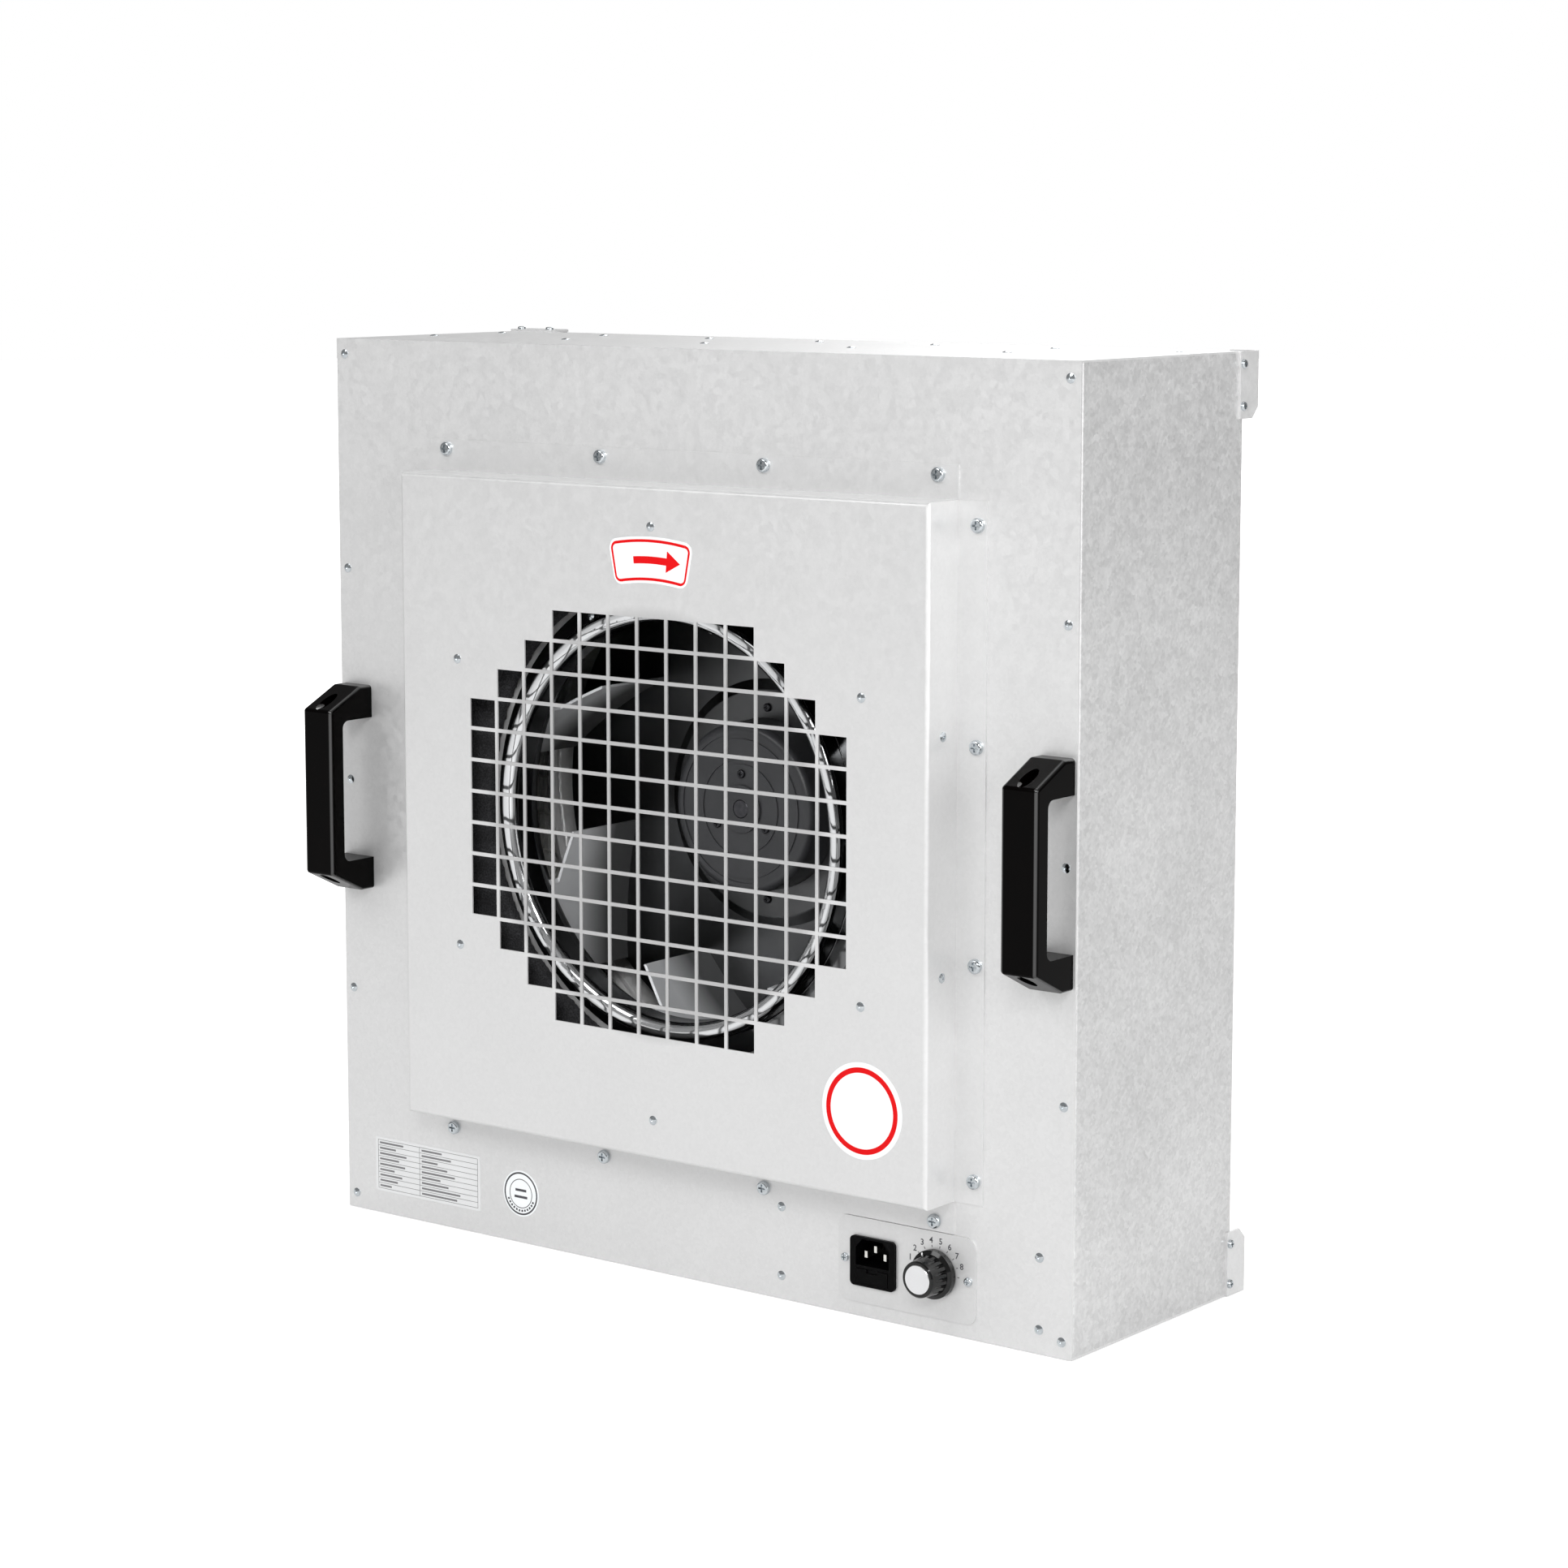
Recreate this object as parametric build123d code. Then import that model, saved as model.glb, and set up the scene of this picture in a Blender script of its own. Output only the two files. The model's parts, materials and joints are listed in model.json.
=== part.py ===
from build123d import *
import math
import os

# Fan filter unit, standing on its edge. All lengths are in millimetres.
# +X is to the right of the inlet side, +Y runs from the inlet to the outlet,
# +Z is up. The origin is the middle of the casing's bottom face.

# ---------------------------------------------------------------- casing
casing_width = 575.0
casing_height = 575.0
casing_depth = 175.0
casing_sheet = 1.2
casing_bend = 0.8  # inside radius of the casing's folds
front_flange = 18.0  # folded lip behind the front panel
rear_hem = 8.0  # folded lip round the outlet
stiffener_width = 30.0
stiffener_height = 10.0
stiffener_inset = 17.5  # from a side panel's outer face to the rail's end
stiffener_depth = 70.5  # from the front face to the rail's middle
foam_thickness = 10.0
foam_margin = 20.0  # side foam stops this short of the top and bottom panels
foam_front_gap = 10.0  # side foam starts this far behind the front panel
foam_rear_gap = 5.0  # and stops this far in front of the filter seat
lip_gap = 0.5  # between the level and the upright sheets' front lips
panel_corner = 6.0  # corner radius of the front panel's fan opening

# ---------------------------------------------------------------- inlet cover
cover_margin_x = 82.5  # from the casing's sides to the raised face
cover_margin_z = 81.5  # from the casing's top and bottom to the raised face
cover_rise = 30.0  # how far the raised face stands in front of the panel
cover_sheet = 1.0
cover_bend = 1.5  # inside radius of the raised face's edges
cover_flange = 20.0
cover_opening_gap = 5.0  # the front panel's opening is this much smaller on each side
cover_screw_offset = 14.0  # from the raised wall to the screw row
cover_screw_corner = 14.0  # from the raised face's corner to the first screw
cover_screws_a_side = 4
grille_pitch_x = 22.8
grille_pitch_z = 19.9
grille_bar = 2.3
grille_lift = -1.5  # grille's middle above the cover's middle
grille_rows = [7, 9, 11] + [13] * 7 + [11, 9, 7]

# ---------------------------------------------------------------- fan deck and inlet ring
deck_gap = 1.0  # from the front panel's face to the deck
deck_sheet = 1.2
deck_flange = 20.0
deck_end_gap = 2.0  # deck and foam stop this short of the cover's top and bottom
deck_hole_gap = 0.8  # between the deck's hole and the ring's skirt
inlet_foam_thickness = 8.0
foam_ring_gap = 3.0  # between the foam's hole and the ring's flange
foam_clearance = 0.3
ring_sheet = 1.2
ring_flange_width = 13.0
ring_post_gap = 48.0  # from the posts' circle in to the ring's skirt
ring_rise = 16.0  # from the deck to the crest of the rolled lip
ring_lip_width = 11.0  # from the skirt in to the throat
ring_depth = 18.0  # from the crest to the end of the throat
ring_lip_bend = 3.0
ring_bell_bend = 5.0
post_count = 6
post_edge = 23.0  # from the raised face's edge to the posts' circle
post_radius = 5.0
post_clearance = 0.2
wall_rivet_offset = 70.5

# ---------------------------------------------------------------- motor and impeller
motor_plate_depth = 102.5  # from the front face to the motor plate
motor_plate_thickness = 2.5
motor_plate_margin = 10.0  # from the posts' circle to the plate's edge
motor_screw_circle = 33.0
motor_plate_rim = 10.0
motor_plate_bend = 2.0
motor_plate_bore = 8.0
lead_notch_clearance = 1.5
spindle_wall = 4.0  # round the bearings
bearing_shoulder = 2.0
spindle_length = 26.5
stator_flange_radius = 45.0
stator_flange_thickness = 7.5
bearing_radius = 14.0
bearing_width = 8.0
bearing_seat_clearance = 0.03
bearing_ring = 1.6
shield_recess = 0.5
shaft_radius = 6.0
shaft_clearance = 0.05
core_radius = 44.0
core_length = 14.0
core_gap = 5.5  # from the stator's flange to the core
stator_slots = 12
slot_width = 6.5
slot_mouth = 2.5
winding_inner_gap = 7.0  # from the spindle to the slots' floors
winding_outer_gap = 3.0  # from the slots' outer ends to the core's rim
winding_front = 8.0
winding_rear = 4.5
air_gap = 1.0
rotor_wall = 9.0
rotor_face = 3.0
rotor_face_depth = 58.0  # from the front face to the rotor's face
rotor_corner = 5.0
rotor_hub_radius = 15.0
rotor_hub_gap = 2.0  # between the rotor's hub and the spindle
rotor_boss_height = 1.5
rotor_grooves = [29.5, 45.5]  # middle radii of the rings turned in the rotor's face
rotor_groove_width = 3.0
rotor_groove_depth = 0.8
rotor_flange_width = 14.0
rotor_flange_thickness = 3.0
rotor_rear_gap = 6.0  # from the rotor's open end to the stator's flange
impeller_post_gap = 17.0  # from the posts' circle in to the impeller's rim
impeller_sheet = 1.5
impeller_eye_gap = 2.4  # between the throat and the eye
impeller_eye_overlap = 4.0  # how far the throat reaches into the eye
impeller_eye_length = 19.7  # from the eye's rim to the shroud's shoulder
impeller_outlet_width = 62.0
shroud_bend = 16.0
backplate_step = 3.25
backplate_step_gap = 4.0  # from the rotor's flange to the step
blade_count = 7
blade_root_inset = 14.0  # blades start this far inside the eye
blade_first_angle = 191.0
blade_inlet_angle = 25.0
blade_outlet_angle = 40.0
blade_tip_gap = 1.0  # blades stop this short of the impeller's rim
blade_top_drop = 2.0  # blade's leading corner behind the shroud's shoulder
blade_top_fall = 8.0  # further drop of the leading edge at the root radius
blade_root_sweep = 6.0
rotor_screw_circle = 22.0

# ---------------------------------------------------------------- filter
filter_gap = 9.3  # between the casing's inner faces and the filter's frame
filter_depth = 69.0
filter_overhang = 14.0  # how far the filter stands out of the casing's back
filter_lip = 18.0
filter_sheet = 1.5
gasket_thickness = 5.0
gasket_width = 14.0
gasket_inset = 1.0
seat_reach = 20.0
seat_leg = 33.7
pleat_count = 60
media_thickness = 0.5
media_margin = 1.0
guard_sheet = 1.0
guard_holes = 20
guard_bar = 3.0
clip_width = 40.0
clip_sheet = 1.5
clip_grip = 6.0  # how far a clip reaches onto the casing
clip_hook = 20.0
clip_chamfer = 8.0
clip_screw_inset = 3.2  # from the casing's rear edge
clip_screw_spacing = 25.0

# ---------------------------------------------------------------- handles
handle_inset = 14.0  # from the casing's side to the handle's middle
handle_drop = 3.5  # handle's middle below the casing's middle
handle_length = 134.0
handle_width = 25.0
handle_height = 38.0
handle_foot = 10.0
handle_slant = 13.5
handle_leg = 21.0
handle_grip = 11.0
handle_edge = 2.5
handle_gap_corner = 5.0
handle_well_clearance = 0.3
handle_screw_end = 9.0  # from the handle's end to its screw
handle_screw_floor = 8.0  # plastic left under the screw's head

# ---------------------------------------------------------------- control panel
control_inset = 117.0  # from the casing's right side to the plate's middle
control_z = 34.75
control_width = 100.5
control_height = 52.5
control_corner = 7.0
control_sheet = 1.0
control_screw_end = 5.25  # from the plate's end to its screw
cutout_margin = 4.0
inlet_shift = -23.75  # from the plate's middle
inlet_z = 34.55
inlet_flange_width = 33.0
inlet_flange_height = 30.5
inlet_flange_thickness = 2.0
inlet_flange_corner = 3.0
inlet_body_width = 30.0
inlet_body_height = 28.0
inlet_body_depth = 26.0
socket_width = 24.4
socket_height = 16.2
socket_chamfer = 5.0
socket_depth = 15.0
socket_lift = 5.75  # socket's middle above the inlet's middle
pin_pitch = 14.0
pin_width = 2.0
pin_height = 4.0
pin_offset = 2.0  # live and neutral below, earth above the socket's middle
pin_recess = 3.5  # from the inlet's face to the pins' tips
pin_tail = 8.5
drawer_width = 22.8
drawer_height = 8.8
drawer_depth = 23.0
drawer_drop = 8.95  # drawer's middle below the inlet's middle
drawer_clearance = 0.3
drawer_proud = 0.3
drawer_wall = 1.1
drawer_stop_gap = 0.5
notch_width = 8.0
notch_height = 2.2
notch_depth = 0.8
fuse_radius = 2.6
fuse_length = 20.0
fuse_pitch = 9.0
fuse_cap = 5.0  # length of each metal end
fuse_play = 0.4
box_half_width = 84.5
box_half_height = 29.0
box_depth = 50.0
box_sheet = 1.0
box_ear = 14.0
box_rivet_gap = 9.8  # from the box's wall to its rivets
box_rivet_end = 7.5  # from the ear's end to its rivet
box_lift = 1.25  # box's middle above the control plate's middle
knob_shift = 21.5  # from the plate's middle
knob_z = 36.0
knob_gap = 0.8
knob_length = 18.0
knob_skirt_radius = 14.75
knob_skirt = 5.0
knob_root_radius = 12.5
knob_nose_radius = 11.0
knob_flutes = 18
knob_flute_radius = 1.1
knob_hollow_radius = 9.5
knob_hollow_depth = 4.2
knob_bore_end_gap = 3.5  # plastic in front of the shaft's end
knob_cap_radius = 8.75
knob_cap_thickness = 0.8
pot_radius = 12.0
pot_depth = 15.5
bushing_radius = 4.5
bushing_length = 4.6
pot_shaft_radius = 3.0
pot_shaft_clearance = 0.05
pot_back_wall = 4.0
pot_shaft_end_gap = 0.5
nut_radius = 6.9
nut_thickness = 2.5
hole_clearance = 0.2

# ---------------------------------------------------------------- parts inside the control box
block_width = 30.0
block_height = 18.0
block_depth = 16.0
block_shift = -63.0  # from the plate's middle
block_top = 60.0
terminal_count = 3
terminal_hole_radius = 2.6
terminal_hole_depth = 5.0
capacitor_radius = 15.0
capacitor_length = 48.0
capacitor_shift = 61.5  # from the plate's middle
capacitor_y = 27.5  # from the front face
module_width = 56.0
module_height = 44.0
module_board = 1.6
module_standoff = 5.0
module_standoff_radius = 2.5
module_shift = 4.0  # board's middle to the right of the panel's middle
module_inset = 4.0  # standoffs' and heat sink's distance from the board's edges
heat_sink_start = 32.0
heat_sink_height = 5.0
heat_sink_margin = 8.0
lead_radius = 3.0
lead_bend = 16.0
lead_rise = 41.3  # from the terminal strip's top to the lead's level run
lead_depth = 37.5  # from the front face to the lead's run into the box

# ---------------------------------------------------------------- fasteners
rivet_head_radius = 2.9
rivet_head = 1.0
rivet_shank_radius = 1.6
rivet_length = 4.0
m4_head_radius = 4.4
m4_head = 2.8
m4_radius = 2.0
m3_head_radius = 2.7
m3_head = 1.8
m3_radius = 1.5
cap_head_radius = 4.0
cap_head = 4.5
cap_radius = 2.5
fastener_clearance = 0.1
cover_screw_length = 9.0
small_screw_length = 6.0
handle_screw_grip = 9.0  # shank behind the handle's foot
plate_screw_grip = 4.0  # shank in front of the motor plate
impeller_screw_length = 4.0
post_bore_depth = 6.0
stator_bore_depth = 5.0
edge_rivet_inset = 7.0
edge_rivet_end = 9.9  # from the panel's top and bottom to the last rivet
edge_rivets_a_side = 5
top_rivet_inset = 20.5
top_rivet_pitch = 114.0
top_rivet_count = 5
seat_rivet_inset = 20.5
seat_rivet_count = 7
seat_rivet_reach = 23.7  # from the seat's front face to its rivets

# ---------------------------------------------------------------- labels
label_thickness = 0.3
rating_inset = 71.3  # from the casing's left side to the label's middle
rating_z = 32.75
rating_width = 92.4
rating_height = 36.5
sticker_inset = 152.5  # from the casing's left side
sticker_z = 32.0
sticker_radius = 15.0
arrow_label_drop = 44.0  # below the cover's top edge
arrow_label_width = 66.0
arrow_label_height = 28.0
arrow_label_radius = 150.0
arrow_label_corner = 6.0
round_label_inset = 46.0  # from the cover's right edge
round_label_lift = 53.0  # above the cover's bottom edge
round_label_radius = 29.0
ring_print_radius = 26.0
ring_print_width = 3.2
print_border = 1.7
print_margin = 1.6

# ---------------------------------------------------------------- derived places
half_width = casing_width / 2
front_y = -casing_depth / 2
rear_y = casing_depth / 2
panel_back_y = front_y + casing_sheet
fan_z = casing_height / 2
inner_x = half_width - casing_sheet
floor_z = casing_sheet
ceiling_z = casing_height - casing_sheet
cover_width = casing_width - 2 * cover_margin_x
cover_height = casing_height - 2 * cover_margin_z
cover_face_y = front_y - cover_rise
cover_back_y = cover_face_y + cover_sheet
deck_back_y = front_y - deck_gap
deck_front_y = deck_back_y - deck_sheet
inlet_foam_y = deck_front_y - inlet_foam_thickness
crest_y = deck_front_y - ring_rise
throat_end_y = crest_y + ring_depth
post_circle_radius = min(cover_width, cover_height) / 2 - post_edge
impeller_radius = post_circle_radius - impeller_post_gap
ring_skirt_radius = post_circle_radius - ring_post_gap
ring_throat_radius = ring_skirt_radius - ring_lip_width
ring_flange_radius = ring_skirt_radius + ring_flange_width
deck_hole_radius = ring_skirt_radius - ring_sheet - deck_hole_gap
inlet_foam_hole_radius = ring_flange_radius + foam_ring_gap
motor_plate_radius = post_circle_radius + motor_plate_margin
spindle_radius = bearing_radius + spindle_wall
spindle_bore = bearing_radius - bearing_shoulder
winding_inner_radius = spindle_radius + winding_inner_gap
winding_outer_radius = core_radius - winding_outer_gap
rotor_radius = core_radius + air_gap + rotor_wall
rotor_flange_radius = rotor_radius + rotor_flange_width
flange_screw_circle = rotor_radius + rotor_flange_width / 2
backplate_step_radius = rotor_flange_radius + backplate_step_gap
impeller_eye_radius = ring_throat_radius + ring_sheet + impeller_eye_gap
blade_root_radius = impeller_eye_radius - blade_root_inset
motor_plate_y = front_y + motor_plate_depth
motor_plate_back_y = motor_plate_y + motor_plate_thickness
stator_flange_y = motor_plate_y - stator_flange_thickness
spindle_front_y = stator_flange_y - spindle_length
core_rear_y = stator_flange_y - core_gap
core_front_y = core_rear_y - core_length
rotor_face_y = front_y + rotor_face_depth
rotor_rear_y = stator_flange_y - rotor_rear_gap
flange_front_y = rotor_rear_y - rotor_flange_thickness
backplate_front_y = flange_front_y - impeller_sheet
blade_floor_y = backplate_front_y + backplate_step
eye_front_y = throat_end_y - impeller_eye_overlap
shoulder_y = eye_front_y + impeller_eye_length
shroud_rim_y = blade_floor_y - impeller_outlet_width
filter_back_y = rear_y + filter_overhang
filter_front_y = filter_back_y - filter_depth
seat_back_y = filter_front_y - gasket_thickness
seat_front_y = seat_back_y - casing_sheet
filter_half_x = inner_x - filter_gap
filter_half_z = fan_z - casing_sheet - filter_gap
plate_front_y = front_y - control_sheet
control_x = half_width - control_inset
inlet_x = control_x + inlet_shift
knob_x = control_x + knob_shift
block_x = control_x + block_shift
capacitor_x = control_x + capacitor_shift
inlet_face_y = plate_front_y - inlet_flange_thickness
inlet_back_y = plate_front_y + inlet_body_depth
box_back_y = panel_back_y + box_depth
box_z = control_z + box_lift
knob_back_y = plate_front_y - knob_gap
knob_front_y = knob_back_y - knob_length
stiffener_y = front_y + stiffener_depth
seat_rivet_y = seat_front_y + seat_rivet_reach
shaft_front_y = rotor_face_y - rotor_boss_height
handle_offset = half_width - handle_inset
handle_middle = fan_z - handle_drop
rating_x = -half_width + rating_inset
sticker_x = -half_width + sticker_inset
arrow_label_middle = fan_z + cover_height / 2 - arrow_label_drop
round_label_x = cover_width / 2 - round_label_inset
round_label_z = fan_z - cover_height / 2 + round_label_lift


# ---------------------------------------------------------------- helpers
def block(x0, x1, y0, y1, z0, z1):
    """A box from its low and high corners."""
    middle = Pos((x0 + x1) / 2, (y0 + y1) / 2, (z0 + z1) / 2)
    return middle * Box(x1 - x0, y1 - y0, z1 - z0)


def along_x(sketch, x0, x1):
    """A sketch of (depth, height) carried from x0 to x1."""
    plane = Plane((x0, 0, 0), x_dir=(0, 1, 0), z_dir=(1, 0, 0))
    return extrude(plane * sketch, amount=x1 - x0, dir=(1, 0, 0))


def along_y(sketch, y0, y1):
    """A sketch of (across, height), as seen from the inlet, carried from y0 back to y1."""
    plane = Plane((0, y0, 0), x_dir=(1, 0, 0), z_dir=(0, -1, 0))
    return extrude(plane * sketch, amount=y1 - y0, dir=(0, 1, 0))


def along_z(sketch, z0, z1):
    """A sketch of (across, depth) carried from z0 up to z1."""
    return extrude(Pos(0, 0, z0) * sketch, amount=z1 - z0, dir=(0, 0, 1))


def disc(x, z, radius, y0, y1):
    """A round bar along Y."""
    return along_y(Pos(x, z) * Circle(radius), y0, y1)


def tube(x, z, outer, inner, y0, y1):
    """A round tube along Y."""
    ring = Circle(outer) - Circle(inner)
    return along_y(Pos(x, z) * ring, y0, y1)


def discs(points, radius, y0, y1):
    """Round bars along Y at each (x, z)."""
    return along_y(Sketch() + [Pos(x, z) * Circle(radius) for x, z in points], y0, y1)


def turned(profile, x=0.0, z=0.0):
    """A profile of (radius, depth) turned about the Y axis through x, z."""
    return Pos(x, 0, z) * revolve(profile, axis=Axis.Y)


def bent(points, thickness, inside):
    """The section of a folded sheet, from the middle line of its thickness."""
    line = FilletPolyline(*points, radius=inside + thickness / 2)
    return trace(line, thickness)


def around(count, radius, first=0.0, x=0.0, z=fan_z):
    """Evenly spaced (x, z) points on a circle about x, z."""
    angles = [math.radians(first + 360 * i / count) for i in range(count)]
    return [(x + radius * math.cos(a), z + radius * math.sin(a)) for a in angles]


def placed(piece, point, outward):
    """A piece drawn pointing up +Z from the origin, set at a point and facing outward."""
    return Plane(point, z_dir=outward) * piece


def facing_front(piece, points, y):
    """Copies of a piece on (x, z) points at depth y, facing the inlet side."""
    return [placed(piece, (x, y, z), (0, -1, 0)) for x, z in points]


def facing_back(piece, points, y):
    """Copies of a piece on (x, z) points at depth y, facing the outlet side."""
    return [placed(piece, (x, y, z), (0, 1, 0)) for x, z in points]


def group(pieces):
    """Separate solids kept in one node."""
    return Compound(children=list(pieces))


# ---------------------------------------------------------------- fastener places
def spread(count, half):
    """Evenly spaced values from -half to half."""
    return [half * (2 * i / (count - 1) - 1) for i in range(count)]


def cover_screw_points():
    """A row of screws on each of the cover's four flanges."""
    row_x = cover_width / 2 + cover_screw_offset
    row_z = cover_height / 2 + cover_screw_offset
    across = spread(cover_screws_a_side, cover_width / 2 - cover_screw_corner)
    upward = spread(cover_screws_a_side, cover_height / 2 - cover_screw_corner)
    upright = [(side * row_x, fan_z + v) for side in (-1, 1) for v in upward]
    level = [(v, fan_z + side * row_z) for side in (-1, 1) for v in across]
    return upright + level


def edge_rivet_points():
    """Rivets down both edges of the front panel."""
    rows = spread(edge_rivets_a_side, fan_z - edge_rivet_end)
    x = half_width - edge_rivet_inset
    return [(side * x, fan_z + row) for side in (-1, 1) for row in rows]


def box_rivet_points():
    """Rivets through the control box's ears."""
    x = box_half_width + box_rivet_gap
    z = box_half_height - box_rivet_end
    return [(control_x + i * x, box_z + j * z) for i in (-1, 1) for j in (-1, 1)]


def post_points():
    """The posts that hang the motor from the cover's face."""
    return around(post_count, post_circle_radius, first=90)


def ring_rivet_points():
    """Rivets through the inlet ring's flange, between the posts."""
    return around(6, (ring_flange_radius + ring_skirt_radius) / 2, first=60)


def motor_screw_points():
    """Screws from the motor plate into the stator's flange."""
    return around(4, motor_screw_circle, first=45)


def wall_rivet_heights():
    """Rivets through the cover's side walls into the deck's flanges."""
    return (fan_z - wall_rivet_offset, fan_z + wall_rivet_offset)


def handle_screw_points(side):
    """Two screws through one handle's legs."""
    span = handle_length / 2 - handle_screw_end
    return [(side * handle_offset, handle_middle + i * span) for i in (-1, 1)]


def control_screw_points():
    """One screw at each end of the control plate."""
    reach = control_width / 2 - control_screw_end
    return [(control_x + i * reach, control_z) for i in (-1, 1)]


def top_rivet_places():
    """(x, depth) of the stiffener's rivets through the top panel."""
    first = -half_width + top_rivet_inset
    return [(first + top_rivet_pitch * i, stiffener_y) for i in range(top_rivet_count)]


def seat_rivet_places():
    """(x, depth) of the filter seat's rivets through the top panel."""
    row = spread(seat_rivet_count, half_width - seat_rivet_inset)
    return [(x, seat_rivet_y) for x in row]


def clip_frames():
    """Each clip's corner on the casing: a point, its outward side and the way along it."""
    low, high = clip_width / 2, casing_height - clip_width / 2
    left = -half_width + clip_width / 2
    return [
        Plane((half_width, 0, high), x_dir=(0, 0, -1), z_dir=(1, 0, 0)),
        Plane((half_width, 0, low), x_dir=(0, 0, 1), z_dir=(1, 0, 0)),
        Plane((left, 0, casing_height), x_dir=(1, 0, 0), z_dir=(0, 0, 1)),
        Plane((-half_width, 0, low), x_dir=(0, 0, 1), z_dir=(-1, 0, 0)),
    ]


def clip_screw_places():
    """Each clip screw's point on its casing face, with the face's outward direction."""
    places = []
    for frame in clip_frames():
        for side in (-1, 1):
            shift = frame.x_dir * (side * clip_screw_spacing / 2)
            middle = frame.origin + shift
            point = Vector(middle.X, rear_y - clip_screw_inset, middle.Z)
            places.append((point, frame.z_dir))
    return places


# ---------------------------------------------------------------- fasteners
def rivet():
    """A blind rivet: low dome with the broken mandrel's dimple, and its shank."""
    dome = Sphere(rivet_head_radius * 2.2)
    flat = Cylinder(rivet_head_radius, rivet_head, align=(Align.CENTER, Align.CENTER, Align.MIN))
    head = flat & Pos(0, 0, rivet_head - rivet_head_radius * 2.2) * dome
    shank = Pos(0, 0, -rivet_length / 2) * Cylinder(rivet_shank_radius, rivet_length)
    dimple = Pos(0, 0, rivet_head) * Cylinder(rivet_shank_radius / 2, rivet_head)
    return head + shank - dimple


def pan_screw(head_radius, head_height, radius, length):
    """A pan-head screw with a cross recess."""
    base = (Align.CENTER, Align.CENTER, Align.MIN)
    head = Cylinder(head_radius, head_height, align=base)
    top_edge = head.edges().sort_by(Axis.Z)[-1:]
    head = fillet(top_edge, head_height * 0.55)
    slot = head_radius * 1.15
    recess_depth = head_height * 0.6
    recess = Box(slot, slot * 0.24, recess_depth) + Box(slot * 0.24, slot, recess_depth)
    head = head - Pos(0, 0, head_height - recess_depth / 2) * recess
    shank = Pos(0, 0, -length / 2) * Cylinder(radius, length)
    return head + shank


def cap_screw(length):
    """A socket cap screw."""
    base = (Align.CENTER, Align.CENTER, Align.MIN)
    head = Cylinder(cap_head_radius, cap_head, align=base)
    socket = extrude(RegularPolygon(cap_radius * 0.95, 6), amount=cap_head * 0.6)
    head = head - Pos(0, 0, cap_head * 0.4) * socket
    return head + Pos(0, 0, -length / 2) * Cylinder(cap_radius, length)


def cover_screws():
    screw = pan_screw(m4_head_radius, m4_head, m4_radius, cover_screw_length)
    return group(facing_front(screw, cover_screw_points(), front_y - cover_sheet))


def small_screws():
    screw = pan_screw(m3_head_radius, m3_head, m3_radius, small_screw_length)
    pieces = facing_front(screw, control_screw_points(), plate_front_y)
    for point, outward in clip_screw_places():
        pieces.append(placed(screw, point + outward * clip_sheet, outward))
    return group(pieces)


def handle_screws():
    screw = cap_screw(handle_screw_floor + handle_screw_grip)
    points = handle_screw_points(-1) + handle_screw_points(1)
    return group(facing_front(screw, points, front_y - handle_screw_floor))


def plate_screws():
    length = motor_plate_thickness + plate_screw_grip
    screw = pan_screw(m4_head_radius, m4_head, m4_radius, length)
    points = post_points() + motor_screw_points()
    return group(facing_back(screw, points, motor_plate_back_y))


def impeller_screws():
    screw = pan_screw(m3_head_radius, m3_head, m3_radius, impeller_screw_length)
    hub = facing_front(screw, around(3, rotor_screw_circle, first=90), rotor_face_y)
    rim = facing_front(screw, around(6, flange_screw_circle, first=30), backplate_front_y)
    return group(hub + rim)


def blind_rivets():
    pop = rivet()
    pieces = facing_front(pop, edge_rivet_points() + box_rivet_points(), front_y)
    pieces += facing_front(pop, post_points(), cover_face_y)
    pieces += facing_front(pop, ring_rivet_points(), deck_front_y - ring_sheet)
    wall_y = deck_back_y - deck_flange * 0.7
    for side in (-1, 1):
        for z in wall_rivet_heights():
            pieces.append(placed(pop, (side * cover_width / 2, wall_y, z), (side, 0, 0)))
    for x, y in top_rivet_places() + seat_rivet_places():
        pieces.append(placed(pop, (x, y, casing_height), (0, 0, 1)))
    return group(pieces)


# ---------------------------------------------------------------- casing
def front_panel():
    """Flat front sheet with the fan opening and the control cut-out."""
    hole = fastener_clearance
    sketch = Pos(0, fan_z) * Rectangle(casing_width, casing_height)
    width = cover_width - 2 * cover_opening_gap
    height = cover_height - 2 * cover_opening_gap
    sketch -= Pos(0, fan_z) * RectangleRounded(width, height, panel_corner)
    sketch -= control_cutout()
    sketch -= [Pos(x, z) * Circle(m4_radius + hole) for x, z in cover_screw_points()]
    riveted = edge_rivet_points() + box_rivet_points()
    sketch -= [Pos(x, z) * Circle(rivet_shank_radius + hole) for x, z in riveted]
    bolted = handle_screw_points(-1) + handle_screw_points(1)
    sketch -= [Pos(x, z) * Circle(cap_radius + hole) for x, z in bolted]
    sketch -= [Pos(x, z) * Circle(m3_radius + hole) for x, z in control_screw_points()]
    return along_y(sketch, front_y, panel_back_y)


def control_cutout():
    """Opening behind the control plate, round the inlet's body and the potentiometer."""
    x0 = inlet_x - inlet_body_width / 2 - cutout_margin
    x1 = knob_x + pot_radius + cutout_margin
    z0 = min(inlet_z - inlet_body_height / 2, knob_z - pot_radius) - cutout_margin
    z1 = max(inlet_z + inlet_body_height / 2, knob_z + pot_radius) + cutout_margin
    opening = RectangleRounded(x1 - x0, z1 - z0, cutout_margin / 2)
    return Pos((x0 + x1) / 2, (z0 + z1) / 2) * opening


def clip_screw_holes():
    """Holes for the clip screws through the casing's faces."""
    bar = Cylinder(m3_radius + fastener_clearance, 4 * casing_sheet)
    return [placed(bar, point, outward) for point, outward in clip_screw_places()]


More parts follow.
